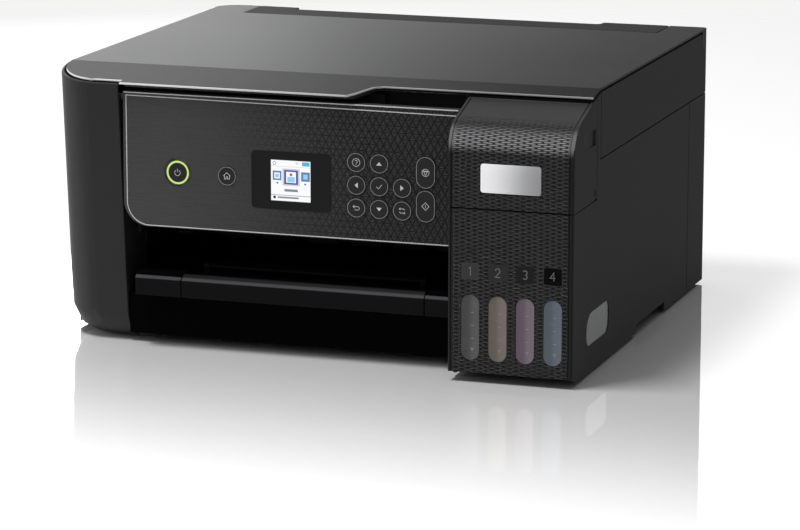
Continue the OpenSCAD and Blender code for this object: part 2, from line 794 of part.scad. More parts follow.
module ink_cover() {
    cheek_r = cover_axis_z - cover_z;
    lip_in = cover_rod_r + fit + 1.1;
    color("#222224") difference() {
        union() {
            difference() {
                intersection() {
                    alongX(tank_x, x_right) coverProfile(0);
                    translate([0, 0, cover_z]) linear_extrude(far) tankPlan(0);
                }
                // hollow, open towards the rear
                alongX(tank_x + wall, x_right - wall) coverProfile(wall);
                alongX(tank_x + wall, x_right - wall)
                    translate([cover_axis_y - 10, 0]) square([20, cover_axis_z - 3]);
                // left cheek ends in front of the fixed wall
                alongX(tank_x - 1, tank_x + wall + 1) intersection() {
                    coverProfile(wall);
                    translate([y_front + 23.6, 0]) square([far, far]);
                }
                alongX(tank_x - 1, x_right - wall) translate([cover_axis_y, cover_axis_z]) circle(r = lip_in);
                // seat of the badge
                alongY(y_front - 1, y_front + badge_sink)
                    roundedRect(badge_x, badge_x + badge_w, badge_z, badge_z + badge_h, [2, 2, 2, 2]);
                // fine grooves beside the front
                for (groove = [[tank_x + flange_w, groove_w], [side_seam_x - seam_gap, seam_gap]]) {
                    alongX(groove[0], groove[0] + groove[1]) difference() {
                        coverProfile(-1);
                        coverProfile(groove_deep);
                        translate([cover_axis_y - 1, 0]) square([far, far]);
                    }
                }
            }
            // lip that turns down behind the hinge
            alongX(tank_x, x_right - wall - gap) translate([cover_axis_y, cover_axis_z]) difference() {
                circle(r = cover_lip_r);
                circle(r = lip_in);
                polygon([[0, 0], [-20 * tan(cover_deg), 20], [-20, 20], [-20, -20], [20, -20], [20, 18]]);
            }
            // right cheek behind the hinge line
            alongX(x_right - wall, x_right) intersection() {
                translate([cover_axis_y, cover_axis_z]) circle(r = cheek_r);
                cheekArea(cheek_back);
                polygon([
                    [cover_axis_y - 8, tank_seam_z], [cover_cheek_y, tank_seam_z],
                    [cover_cheek_y, cover_top(cover_cheek_y)], [cover_axis_y - 8, cover_top(cover_axis_y - 8)]
                ]);
            }
            // hinge rod and the ribs that hold it
            rodX(tank_x + 4, x_right - wall, cover_axis_y, cover_axis_z, cover_rod_r);
            for (x = [tank_x + 4, tank_x + tank_w / 2, x_right - wall - 4]) {
                alongX(x, x + 3) polygon([
                    [cover_axis_y - 9, cover_top(cover_axis_y - 9) - 1], [cover_axis_y - 9, cover_axis_z - 3],
                    [cover_axis_y, cover_axis_z - 2], [cover_axis_y + 1, cover_axis_z],
                    [cover_axis_y, cover_top(cover_axis_y) - 1]
                ]);
            }
        }
        // scoop for a fingertip in the right cheek
        translate([0, 0, scoop_z]) linear_extrude(scoop_h) polygon([
            [x_right, scoop_y], [x_right - scoop_deep, scoop_y + scoop_w],
            [x_right + 1, scoop_y + scoop_w], [x_right + 1, scoop_y]
        ]);
        // slit of the latch
        block(x_right - 1, x_right + 1, latch_y, latch_y + 2, tank_seam_z + 3, tank_seam_z + 7.7);
    }
}

badge_x = tank_mid_x - 0.9 - badge_w / 2;
badge_z = tank_seam_z + 10.5;
badge_sink = 0.8;
groove_deep = 0.8;
scoop_y = y_front + 22.5;
scoop_w = 28.5;
scoop_z = body_h - 35.5;
scoop_h = 10.5;
scoop_deep = 1.6;
latch_y = y_front + 49;

module paper_guide() {
    side_x = guide_x + 6;
    color("#26282b") difference() {
        union() {
            // sloping floor of the feeder
            alongX(-side_x - 1, side_x + 1) hopperSlab(0, hopper_t);
            // cheeks with the bearings of the pickup roller
            for (x = [-side_x - wall, side_x]) {
                block(x, x + wall, pickup_y - 14, hopper_y1 + 6, floor_z + wall, hopper_z1 - 6);
            }
        }
        rodX(-far, far, pickup_y, pickup_z, shaft_r + fit);
        // slots for the feet of the edge guides
        for (side = [-1, 1]) {
            x0 = side > 0 ? guide_x - guide_travel - 6 : -guide_x - 4;
            alongX(x0, x0 + guide_travel + 10) hopperSlot();
        }
    }
}

hopper_t = 2.5;
hopper_y0 = pickup_y - 8;
hopper_z0 = 62;
hopper_y1 = y_rear - 36;
hopper_z1 = 96;
hopper_run = hopper_y1 - hopper_y0;
hopper_rise = hopper_z1 - hopper_z0;
hopper_deg = atan(hopper_rise / hopper_run);

// A slab along the feeder's slope, from low to high above it
module hopperSlab(low, high) {
    polygon([
        [hopper_y0 - low * sin(hopper_deg), hopper_z0 + low * cos(hopper_deg)],
        [hopper_y1 - low * sin(hopper_deg), hopper_z1 + low * cos(hopper_deg)],
        [hopper_y1 - high * sin(hopper_deg), hopper_z1 + high * cos(hopper_deg)],
        [hopper_y0 - high * sin(hopper_deg), hopper_z0 + high * cos(hopper_deg)]
    ]);
}

module hopperSlot() {
    translate([hopper_y1 - 16 * cos(hopper_deg), hopper_z1 - 16 * sin(hopper_deg)])
        rotate(hopper_deg) translate([0, -1]) square([6, hopper_t + 2]);
}

module edgeGuide(side) {
    x = side * guide_x;
    color("#2b2d30") union() {
        alongX(x - guide_t / 2, x + guide_t / 2)
            translate([hopper_y1 - 24 * cos(hopper_deg), hopper_z1 - 24 * sin(hopper_deg)])
            rotate(hopper_deg) translate([0, hopper_t + 0.4]) square([20, 13]);
        alongX(x - 2, x + 2)
            translate([hopper_y1 - 15.5 * cos(hopper_deg), hopper_z1 - 15.5 * sin(hopper_deg)])
            rotate(hopper_deg) translate([0, -0.5]) square([5, hopper_t + 2]);
    }
}

module edge_guide_left() {
    edgeGuide(-1);
}

module edge_guide_right() {
    edgeGuide(1);
}

module pickup_roller() {
    half = guide_x + 7;
    color("#55585c") union() {
        rodX(-half, half, pickup_y, pickup_z, shaft_r);
        difference() {
            rodX(-16, 16, pickup_y, pickup_z, pickup_r);
            block(-far, far, pickup_y - far, pickup_y + far, pickup_z + pickup_r - 4, far);
        }
    }
}

module carriage_rail() {
    color("#a9adb1") difference() {
        union() {
            block(-chassis_x - 1, chassis_x + 1, rail_y, rail_y + chassis_t, 92, chassis_top_z);
            block(-chassis_x - 1, chassis_x + 1, rail_y, rail_y + 14, chassis_top_z - chassis_t, chassis_top_z);
            for (x = [-chassis_x - chassis_t, chassis_x]) {
                block(x, x + chassis_t, chassis_y0, rail_y + 14, chassis_z, chassis_top_z);
            }
            for (x = [-chassis_x - 1, chassis_x - 12], y = [chassis_y0 + 8, rail_y - 2]) {
                block(x, x + 13, y, y + 12, chassis_z, chassis_z + chassis_t);
            }
            rodX(-chassis_x - 1, chassis_x + 1, rod_y, rod_z, rod_r);
        }
        rodX(-far, far, feed_y, feed_z, shaft_r + fit);
        rodX(-far, far, eject_y, eject_z, shaft_r + fit);
        for (side = [-1, 1]) rodY(side * pulley_x, rail_y - 1, rail_y + 3, pulley_z, 2 + fit);
    }
}

module platen() {
    half = guide_x + 5;
    y0 = eject_y + 10;
    y1 = feed_y - 10;
    rib_step = half / 9.5;
    color("#101012") union() {
        block(-half, half, y0, y1, path_z - 10, path_z - 4);
        for (i = [-9 : 9]) block(i * rib_step - 1, i * rib_step + 1, y0 + 1, y1 - 1, path_z - 4.2, path_z - 1);
    }
}

module waste_ink_pad() {
    color("#d8d4c8") block(
        x_left + 80, x_right - 128, eject_y + 14, feed_y + 34, floor_z + wall, floor_z + wall + 18
    );
}

module capping_station() {
    x0 = carriage_x - 6;
    x1 = chassis_x - 4;
    y0 = eject_y + 14;
    y1 = feed_y - 8;
    seal_z = carriage_z0 - 3;
    color("#2f3134") union() {
        block(x0, x1, y0, y1, chassis_z + chassis_t, 52);
        block(x0 + 8, x1 - 8, y0 + 8, y1 - 12, 51, seal_z);
    }
    color("#3c3f42") block(x0 + 10, x1 - 10, y0 + 10, y1 - 14, seal_z - 1, carriage_z0 - 0.8);
}

module main_board() {
    board_x = x_right - 12;
    color("#1f6a43") block(board_x, board_x + 1.6, rail_y + 20, y_rear - 8, 26, 120);
    color("#202020") for (i = [0 : 3]) {
        y = rail_y + 26 + i * 20;
        z = 70 + 8 * (i % 2);
        block(board_x - 3, board_x, y, y + 12, z, z + 14);
    }
}

module power_supply() {
    x1 = -guide_x - 6 - wall - 2;
    color("#35383b") block(inlet_x - 4, x1, rail_y + 26, y_rear - 26, floor_z + wall, 60);
}

module mains_inlet() {
    color("#141416") difference() {
        block(inlet_x + 0.3, inlet_x + inlet_w - 0.3, y_rear - 26, y_rear,
            inlet_z + 0.3, inlet_z + inlet_h - 0.3);
        block(inlet_x + 5, inlet_x + inlet_w - 5, y_rear - 18, y_rear + 1, inlet_z + 6, inlet_z + inlet_h - 6);
    }
    color("#c8ccd0") for (side = [-1, 1]) {
        rodY(inlet_x + inlet_w / 2 + side * 4.3, y_rear - 18, y_rear - 6, inlet_z + inlet_h / 2, 1.2);
    }
}

module usb_port() {
    color("#b4b8bc") difference() {
        block(usb_x + 0.3, usb_x + usb_w - 0.3, y_rear - 18, y_rear - 0.2, usb_z + 0.3, usb_z + usb_h - 0.3);
        block(usb_x + 2.2, usb_x + usb_w - 2.2, y_rear - 14, y_rear + 1, usb_z + 2.2, usb_z + usb_h - 2.2);
    }
    color("#2a2c2e") block(usb_x + 4.6, usb_x + usb_w - 4.6, y_rear - 14, y_rear - 2,
        usb_z + 5.2, usb_z + usb_h - 5.2);
}

module carriage_motor() {
    color("#8d9195") rodY(-pulley_x, rail_y + chassis_t + 0.2, rail_y + 30, pulley_z - 6, motor_dia / 2);
}

module feed_motor() {
    color("#8d9195") rodX(-chassis_x + 0.4, -chassis_x + 26, feed_y + 50, 84, motor_dia / 2);
}

module beltLoop(r) {
    translate([-pulley_x, pulley_z - r]) square([2 * pulley_x, 2 * r]);
    translate([-pulley_x, pulley_z]) circle(r = r);
    translate([pulley_x, pulley_z]) circle(r = r);
}

module drive_belt() {
    color("#17181a") alongY(belt_y, belt_y + belt_w) difference() {
        beltLoop(pulley_r + 0.1 + belt_t);
        beltLoop(pulley_r + 0.1);
    }
}

module pulley(x) {
    color("#6d7175") union() {
        rodY(x, belt_y - 0.5, belt_y + belt_w + 0.5, pulley_z, pulley_r);
        rodY(x, belt_y, rail_y + chassis_t + 0.1, pulley_z, 2);
    }
}

module idler_pulley() {
    pulley(pulley_x);
}

module motor_pulley() {
    pulley(-pulley_x);
}

module print_carriage() {
    x0 = carriage_x - carriage_w / 2;
    x1 = carriage_x + carriage_w / 2;
    color("#1a1a1c") difference() {
        union() {
            block(x0, x1, carriage_y0, carriage_y1 - 6, carriage_z0 + 6, rod_z - 8);
            block(x0, x1, rod_y - 8, carriage_y1 - 1, rod_z - 12, rod_z + 8);
            block(x0 + 4, x1 - 4, carriage_y0 + 4, rod_y - 8, rod_z - 8, carriage_z1 - 6);
            block(x0 + 12, x1 - 12, carriage_y0 + 6, carriage_y1 - 16, carriage_z0, carriage_z0 + 7);
        }
        rodX(x0 - 1, x1 + 1, rod_y, rod_z, rod_r + fit);
    }
}

module roller(y, z, r, tint) {
    half = chassis_x + chassis_t + 1;
    color(tint) union() {
        rodX(-half, half, y, z, shaft_r);
        for (i = [-3 : 3]) rodX(i * roller_pitch - sleeve_w / 2, i * roller_pitch + sleeve_w / 2, y, z, r);
    }
}

module feed_roller() {
    roller(feed_y, feed_z, feed_r, "#6b6f73");
}

module eject_roller() {
    roller(eject_y, eject_z, eject_r, "#3a3c3e");
}

module paper_support() {
    foot = -support_len;
    color("#242427") union() {
        translate([cap_x - cap_w / 2, cap_y0, body_h - cap_t]) linear_extrude(cap_t) difference() {
            roundedRect(0, cap_w, 0, cap_d - 0.2, [2, 2, 2, 2]);
            // finger notch in the rear edge
            roundedRect(30, cap_w - 49, cap_d - 9.5, cap_d + 5, [4, 4, 0, 0]);
        }
        alongX(cap_x - support_w / 2, cap_x + support_w / 2)
            translate([support_y, support_z + 1]) rotate(-support_lean) translate([-support_t, foot])
            square([support_t, support_len]);
    }
}

module output_tray() {
    x0 = tray_x - tray_w / 2;
    plate_y0 = bar_y + bar_t + gap;
    color("#1d1d1f") difference() {
        union() {
            block(x0 + 2, x0 + tray_w - 2, plate_y0, bar_y + tray_d, tray_z, tray_z + tray_t);
            for (x = [x0 + 2, x0 + tray_w - 4.5]) {
                block(x, x + 2.5, plate_y0, bar_y + tray_d, tray_z - 3, tray_z + tray_t);
            }
            // ears that hold the stopper
            for (side = [-1, 1]) {
                x = tray_x + side * (stopper_w / 2 + 3) - 2;
                block(x, x + 4, stopper_y - 2.5, stopper_y + 2.5, tray_z + 1, stopper_z);
                rodX(x, x + 4, stopper_y, stopper_z, 2.5);
            }
        }
        rodX(-far, far, stopper_y, stopper_z, stopper_rod_r + fit);
    }
}

// Side view of the bar, with a slope along its top edge
module barShape() {
    polygon([
        [bar_y, bar_z], [bar_y + bar_t, bar_z], [bar_y + bar_t, bar_z + bar_h], [bar_y + 4, bar_z + bar_h],
        [bar_y, bar_z + bar_h - 3.6]
    ]);
}

// Outer stage of the tray, with the bar as its front
module tray_extension() {
    half = tray_w / 2 - 8;
    z1 = tray_z - 0.5;
    color("#202022") difference() {
        union() {
            alongX(tray_x - tray_w / 2, tray_x + tray_w / 2) barShape();
            block(tray_x - half, tray_x + half, bar_y + bar_t - 1, bar_y + 118, z1 - 2.4, z1);
        }
        block(tray_x - 20, tray_x + 20, bar_y + bar_t + 10, bar_y + bar_t + 26, z1 - 5, z1 + 1);
    }
}

// Ceiling of the paper exit, with the star wheels over the eject roller
module exit_guide() {
    x0 = column_x + wall + 2 * gap + 2;
    x1 = tank_x - wall - 2 * gap - 2;
    front = panel_rear_y + 8;
    back = eject_y + 6;
    wheel_r = 3.5;
    rib_step = tray_w / 7.8;
    color("#161618") union() {
        alongX(x0, x1) polygon([
            [front, panel_z0 + 6], [front, panel_z0 + 3.5], [eject_y - 20, path_z + 10],
            [back, path_z + 10], [back, path_z + 12.5], [eject_y - 20, path_z + 12.5]
        ]);
        block(x0, x1, front - 2, front, panel_z0 + 3.5, panel_z0 + 26);
        for (i = [-4 : 4]) alongX(tray_x + i * rib_step - 0.8, tray_x + i * rib_step + 0.8) polygon([
            [front + 4, panel_z0 + 4], [front + 10, panel_z0 - 4], [eject_y - 12, path_z + 4],
            [eject_y - 4, path_z + 4], [eject_y - 4, path_z + 11], [eject_y - 20, path_z + 11]
        ]);
        for (i = [-3 : 3]) {
            x = i * roller_pitch;
            rodX(x - 1, x + 1, eject_y, path_z + wheel_r + 0.2, wheel_r);
            block(x - 0.8, x + 0.8, eject_y - 1, eject_y + 1, path_z + wheel_r, path_z + 11);
        }
        for (x = [x0, x1 - wall]) block(x, x + wall, front - 2, back, path_z + 11, panel_z0 + 20);
    }
}

stopper_y = bar_y + 27;
stopper_z = bar_z + bar_h + 1.6;
stopper_w = tray_w - 23;
stopper_rod_r = 1.4;

module paper_stopper() {
    z = stopper_z;
    color("#262628") union() {
        rodX(tray_x - stopper_w / 2 - 4.5, tray_x + stopper_w / 2 + 4.5, stopper_y, z, stopper_rod_r);
        block(tray_x - stopper_w / 2, tray_x + stopper_w / 2, stopper_y - 1, stopper_y + 22, z - 1, z + 1);
    }
}

// The scanner unit's outline, seen from above
module unitPlan(inset) {
    difference() {
        casePlan(inset);
        translate([-far, -far]) square([far + column_x + gap + inset, far + column_rear_y + gap + inset]);
        translate([-far, -far]) square([2 * far, far + unit_front_y + inset]);
        translate([unit_inner_x1 - inset, -far]) square([far, far + unit_side_y + inset]);
        translate([finger_x - inset, -far]) square([tank_x - finger_x + 2 * inset, far + finger_y + inset]);
        // room for the paper support, open to the base
        translate([cap_x - cap_w / 2 - gap - inset, cap_y0 - gap - inset])
            square([cap_w + 2 * gap + 2 * inset, cap_d + gap - wall + 2 * inset]);
    }
}

module unitProfile() {
    r = unit_edge_r;
    translate([unit_axis_y, unit_axis_z]) circle(r = r);
    polygon([
        [-far, seam_z], [unit_axis_y, seam_z + 0.2], [unit_axis_y, unit_axis_z],
        [unit_axis_y + r, unit_axis_z], [y_rear, unit_axis_z + 4], [y_rear, body_h - rim_drop],
        [-far, body_h - rim_drop]
    ]);
}

// Side view of the lid's rear corner, which turns in a round well
module earShape(r, up) {
    translate([lid_axis_y, lid_axis_z]) circle(r = r);
    translate([lid_axis_y - r, lid_axis_z]) square([far, up]);
}

module scanner_case() {
    color("#1f1f21") difference() {
        union() {
            intersection() {
                translate([0, 0, seam_z]) linear_extrude(far) unitPlan(0);
                alongX(-far, far) unitProfile();
            }
        }
        // hollow under the deck
        difference() {
            translate([0, 0, seam_z + wall]) linear_extrude(deck_top_z - 2 * wall - seam_z) unitPlan(wall);
            for (side = [-1, 1]) {
                x = side > 0 ? x_right - 33.5 : x_left + 25;
                block(x, x + 9, well_y - 4, far, 0, far);
            }
            block(-far, x_left + 46, well_y - wall, far, 0, far);
            block(x_right - 46, far, well_y - wall, far, 0, far);
        }
        aboveTop(rim_drop);
        // the right rim stays under the lid's lip
        intersection() {
            aboveTop(side_drop);
            block(x_right - rim_t - 1, far, -far, ear_y, seam_z, far);
        }
        // the cap rests on the rear wall
        block(
            cap_x - cap_w / 2 - gap, cap_x + cap_w / 2 + gap, cap_y0 - gap, far,
            body_h - cap_t - 0.3, far
        );
        // bed for the lid
        difference() {
            intersection() {
                aboveTop(body_h - deck_top_z);
                translate([0, 0, seam_z]) linear_extrude(far) casePlan(rim_t);
            }
            block(-far, far, well_y - 4, far, 0, 1);
        }
        // opening over the sensor and rebate of the glass
        block(glass_x0 + 5, glass_x1 - 5, glass_y0 + 5, glass_y1 - 5, seam_z + 10, far);
        block(glass_x0 - 0.2, glass_x1 + 0.2, glass_y0 - 0.2, glass_y1 + 0.2, glass_z, far);
        // wells for the lid's rear corners
        for (side = [-1, 1]) {
            x = side > 0 ? cap_x + cap_w / 2 : -far;
            alongX(x, side > 0 ? far : cap_x - cap_w / 2) earShape(well_r, far);
        }
        // knuckles of the unit's own hinge
        for (side = [-1, 1]) {
            x = side > 0 ? x_right - 32 : x_left + 26;
            block(x - gap, x + 6 + gap, unit_axis_y - 12, far, 0, unit_axis_z + 5.2);
            rodX(x + (side > 0 ? 0 : -10), x + (side > 0 ? 16 : 6), unit_axis_y, unit_axis_z,
                hinge_pin_r + fit);
        }
    }
    // ledge that carries the slope of the ink cover on, behind its hinge
    color("#1f1f21") alongX(tank_x, unit_inner_x1) translate([cover_axis_y, cover_axis_z]) polygon([
        [2.4, 3.5], [3.4, 2.6], [4.4, 0], [5, -3], [5 + wall, -3],
        [5 + wall, cover_skin + cover_slope * (5 + wall)], [2.4, cover_skin + cover_slope * 2.4]
    ]);
    // posts of the lid's hinge
    color("#1f1f21") for (side = [-1, 1]) {
        x = side > 0 ? cap_x + cap_w / 2 + gap + 4 : cap_x - cap_w / 2 - gap - 8;
        block(x, x + 4, lid_axis_y - 3.5, lid_axis_y + 3.5, well_z - 3, lid_axis_z);
        rodX(x, x + 4, lid_axis_y, lid_axis_z, 3.5);
        rodX(x - (side > 0 ? 0 : 10), x + (side > 0 ? 14 : 4), lid_axis_y, lid_axis_z, lid_pin_r);
    }
}

module scanner_glass() {
    color([0.75, 0.85, 0.88, 0.5]) block(glass_x0, glass_x1, glass_y0, glass_y1, glass_z, glass_z + glass_t);
}

sensor_x = glass_x0 + 8;
sensor_travel = glass_w - 16 - sensor_w;

module sensor_bar() {
    color("#0f0f10") union() {
        block(sensor_x, sensor_x + sensor_w, glass_y0 + 6, glass_y1 - 6, glass_z - 13, glass_z - 2.6);
    }
    color("#e9f2ee") block(
        sensor_x + 3, sensor_x + sensor_w - 3, glass_y0 + 8, glass_y1 - 8, glass_z - 2.6, glass_z - 1.8
    );
}

// The lid, seen from above: nested in the side rims, with a finger cut in its front edge
module lidPlan(inset) {
    x0 = x_left + lid_inset + inset;
    x1 = x_right - lid_inset - inset;
    steps = 12;
    front = lid_front_y + inset;
    cut = lid_cut_y + inset;
    left = column_y + 4.5 + inset;
    difference() {
        roundedRect(x0, x1, front, y_rear - lid_inset - inset,
            [0, 0, rear_right_r - lid_inset, rear_left_r - lid_inset]);
        // front left corner, set back behind the column's rim
        difference() {
            translate([-far, -far]) square([far + column_x + gap + 0.6 + inset, far + left + lid_corner_r]);
            translate([x0 + lid_corner_r, left + lid_corner_r]) circle(r = lid_corner_r);
            translate([x0 + lid_corner_r, left]) square([far, far]);
        }
        polygon(concat(
            [for (i = [0 : steps]) [
                lid_cut_x + lid_cut_w * i / steps - inset,
                front + (cut - front) * (1 - cos(180 * i / steps)) / 2
            ]],
            [[far, cut], [far, -far], [lid_cut_x - inset, -far]]
        ));
        // room for the paper support
        translate([cap_x - cap_w / 2 - gap - inset, cap_y0 - gap - inset])
            square([cap_w + 2 * gap + 2 * inset, far]);
    }
}

module lidBelow(drop) {
    alongX(-far, far) polygon([
        [y_front - 20, top_z(y_front - 20) - drop], [bend_y, body_h - drop],
        [y_rear + 20, body_h - drop], [y_rear + 20, 0], [y_front - 20, 0]
    ]);
}

// The lid under its lip, set back from the front edge
module lidBodyPlan(inset) {
    intersection() {
        lidPlan(inset);
        translate([0, lip_deep]) lidPlan(inset);
    }
}

module document_cover() {
    ear_x0 = cap_x - cap_w / 2 - gap;
    ear_x1 = cap_x + cap_w / 2 + gap;
    color("#3a3b3d") difference() {
        union() {
            difference() {
                translate([0, 0, body_h - 20]) linear_extrude(20) lidBodyPlan(0);
                aboveTop(0.2);
                lidBelow(lid_t);
                block(-far, far, ear_y + 2, far, 0, far);
            }
            // thin lip, which reaches over the right side
            difference() {
                translate([0, 0, body_h - 20]) linear_extrude(20) union() {
                    lidPlan(0);
                    translate([lid_inset, 0]) intersection() {
                        lidPlan(0);
                        translate([tank_x + 20, -far]) square([far, 2 * far]);
                    }
                }
                aboveTop(0);
                lidBelow(lip_t);
                block(-far, far, ear_y + 2, far, 0, far);
            }
            // ears over the rear corners
            difference() {
                intersection() {
                    translate([0, 0, body_h - 30]) linear_extrude(30) casePlan(0);
                    alongX(-far, far) earShape(ear_r, body_h - lid_axis_z);
                }
                block(ear_x0, ear_x1, -far, far, 0, far);
                for (side = [-1, 1]) {
                    x = side > 0 ? ear_x1 : ear_x0 - 9;
                    block(x - 1, x + 10, ear_y - 1, far, 0, body_h - 3);
                }
            }
        }
        // hollow underside
        difference() {
            translate([0, 0, body_h - 20]) linear_extrude(20) lidBodyPlan(wall);
            aboveTop(wall);
            block(-far, far, ear_y - wall, far, 0, far);
        }
        for (side = [-1, 1]) {
            x = side > 0 ? ear_x1 + 4 : ear_x0 - 4 - 16;
            rodX(x, x + 16, lid_axis_y, lid_axis_z, lid_pin_r + fit);
        }
    }
}

module backing_pad() {
    color("#e8e8e4") block(
        glass_x0 + 4, glass_x1 - 4, bend_y + 1, glass_y1 - 4, body_h - lid_t - 0.8, body_h - wall
    );
}

// Places of the buttons on the panel: name, x, z
power_at = [panel_x0 + 39.1, panel_top_z - 53.1];
home_at = [panel_x0 + 74.4, panel_top_z - 53.3];
pad_x = panel_x1 - 54.5;
pad_z = panel_top_z - 53.9;
long_x = pad_x + 32;

module roundHole(at, extra) {
    translate(at) circle(r = button_r + extra);
}

module longShape(z, extra) {
    half = long_button_r + extra;
    roundedRect(
        long_x - half, long_x + half, z - long_button_h / 2 - extra, z + long_button_h / 2 + extra,
        [half - 0.5, half - 0.5, half - 0.5, half - 0.5]
    );
}

function pad_at(column, row) = [pad_x + column * button_pitch_x, pad_z + row * button_pitch_z];
round_places = [
    power_at, home_at, pad_at(-1, 1), pad_at(0, 1), pad_at(-1, 0), pad_at(0, 0),
    pad_at(1, 0), pad_at(-1, -1), pad_at(0, -1), pad_at(1, -1)
];
stop_z = pad_z + 11.2;
start_z = pad_z - 11.2;
display_x = (panel_x0 + panel_x1) / 2 + 1.7;
display_z = pad_z - 0.2;

module display_outline(less) {
    roundedRect(
        display_x - display_w / 2 + less, display_x + display_w / 2 - less,
        display_z - display_h / 2 + less, display_z + display_h / 2 - less, [3, 3, 3, 3]
    );
}

module control_panel() {
    face_t = 3;
    color("#19191b") difference() {
        union() {
            alongY(panel_y, panel_rear_y)
                roundedRect(panel_x0, panel_x1, panel_z0, panel_top_z, [panel_corner_r, 4, 0, 0]);
            for (x = [panel_x0 - 4.5, panel_x1 - 2]) {
                rodX(x, x + 6.5, panel_axis_y, panel_axis_z, panel_pin_r);
            }
        }
        // hollow back
        alongY(panel_y + face_t, panel_rear_y - 1.5)
            roundedRect(panel_x0 + wall, panel_x1 - wall, panel_z0 + wall, panel_axis_z - 5,
                [panel_corner_r - wall, 2, 0, 0]);
        // holes for the buttons and the display
        alongY(panel_y - 1, panel_y + face_t + 1) for (at = round_places) roundHole(at, button_gap);
        alongY(panel_y - 1, panel_y + face_t + 1) longShape(stop_z, button_gap);
        alongY(panel_y - 1, panel_y + face_t + 1) longShape(start_z, button_gap);
        alongY(panel_y - 1, panel_y + 1.8) display_outline(0);
        // the top edge turns inside its own circle
        alongX(-far, far) difference() {
            translate([panel_axis_y - 20, panel_axis_z]) square([40, 20]);
            translate([panel_axis_y, panel_axis_z]) circle(r = panel_top_z - panel_axis_z + 0.6);
        }
    }
}

module display_window() {
    color("#050506") alongY(panel_y - 0.2, panel_y + 1.8) display_outline(0.1);
}

module roundButton(at) {
    color("#202022") union() {
        alongY(panel_y - button_proud, panel_y + 2.6) roundHole(at, 0);
        alongY(panel_y + 2.6, panel_y + 4.6) roundHole(at, -2);
    }
}

module longButton(z) {
    color("#202022") union() {
        alongY(panel_y - button_proud, panel_y + 2.6) longShape(z, 0);
        alongY(panel_y + 2.6, panel_y + 4.6) longShape(z, -2);
    }
}

module button_power() {
    roundButton(round_places[0]);
}

module button_home() {
    roundButton(round_places[1]);
}

module button_help() {
    roundButton(round_places[2]);
}

module button_up() {
    roundButton(round_places[3]);
}

module button_left() {
    roundButton(round_places[4]);
}

module button_ok() {
    roundButton(round_places[5]);
}

module button_right() {
    roundButton(round_places[6]);
}

module button_back() {
    roundButton(round_places[7]);
}

module button_down() {
    roundButton(round_places[8]);
}

module button_copies() {
    roundButton(round_places[9]);
}

module button_stop() {
    longButton(stop_z);
}

module button_start() {
    longButton(start_z);
}

lower_case();
left_column();
right_side_cover();
rear_case();
tank_fascia();
tank_frame();
paper_guide();
carriage_rail();
platen();
ink_tank_black();
ink_tank_yellow();
ink_tank_magenta();
ink_tank_cyan();
waste_ink_pad();
capping_station();
main_board();
power_supply();
carriage_motor();
feed_motor();
drive_belt();
mains_inlet();
usb_port();
rubber_feet();
print_carriage();
idler_pulley();
motor_pulley();
feed_roller();
eject_roller();
pickup_roller();
edge_guide_left();
edge_guide_right();
paper_support();
output_tray();
tray_extension();
paper_stopper();
ink_cover();
exit_guide();
cap_black();
cap_yellow();
cap_magenta();
cap_cyan();
scanner_case();
scanner_glass();
sensor_bar();
document_cover();
backing_pad();
control_panel();
display_window();
button_power();
button_home();
button_help();
button_up();
button_left();
button_ok();
button_right();
button_back();
button_down();
button_copies();
button_stop();
button_start();
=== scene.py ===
import json
import math

import bmesh
import bpy
from mathutils import Matrix, Vector


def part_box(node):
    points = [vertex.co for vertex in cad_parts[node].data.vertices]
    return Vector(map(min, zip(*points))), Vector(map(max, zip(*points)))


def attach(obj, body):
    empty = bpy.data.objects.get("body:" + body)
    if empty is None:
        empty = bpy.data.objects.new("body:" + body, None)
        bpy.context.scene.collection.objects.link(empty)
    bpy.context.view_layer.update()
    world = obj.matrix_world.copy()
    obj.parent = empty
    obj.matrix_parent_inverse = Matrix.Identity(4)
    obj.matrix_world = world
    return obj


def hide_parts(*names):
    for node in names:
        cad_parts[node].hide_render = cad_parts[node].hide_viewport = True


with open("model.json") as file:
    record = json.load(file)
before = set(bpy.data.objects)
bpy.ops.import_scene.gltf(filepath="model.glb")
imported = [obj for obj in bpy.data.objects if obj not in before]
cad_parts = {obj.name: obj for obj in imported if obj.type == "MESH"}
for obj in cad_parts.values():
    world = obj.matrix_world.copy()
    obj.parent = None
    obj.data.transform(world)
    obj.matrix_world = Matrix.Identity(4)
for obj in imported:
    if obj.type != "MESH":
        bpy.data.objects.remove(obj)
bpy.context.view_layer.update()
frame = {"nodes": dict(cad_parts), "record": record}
bodies = frame["record"]["behaviour"]["bodies"]
bodyOfNode = {node: body for body, nodes in bodies.items() for node in nodes}
mm = 0.001
print("printer: frame loaded,", len(frame["nodes"]), "solids")


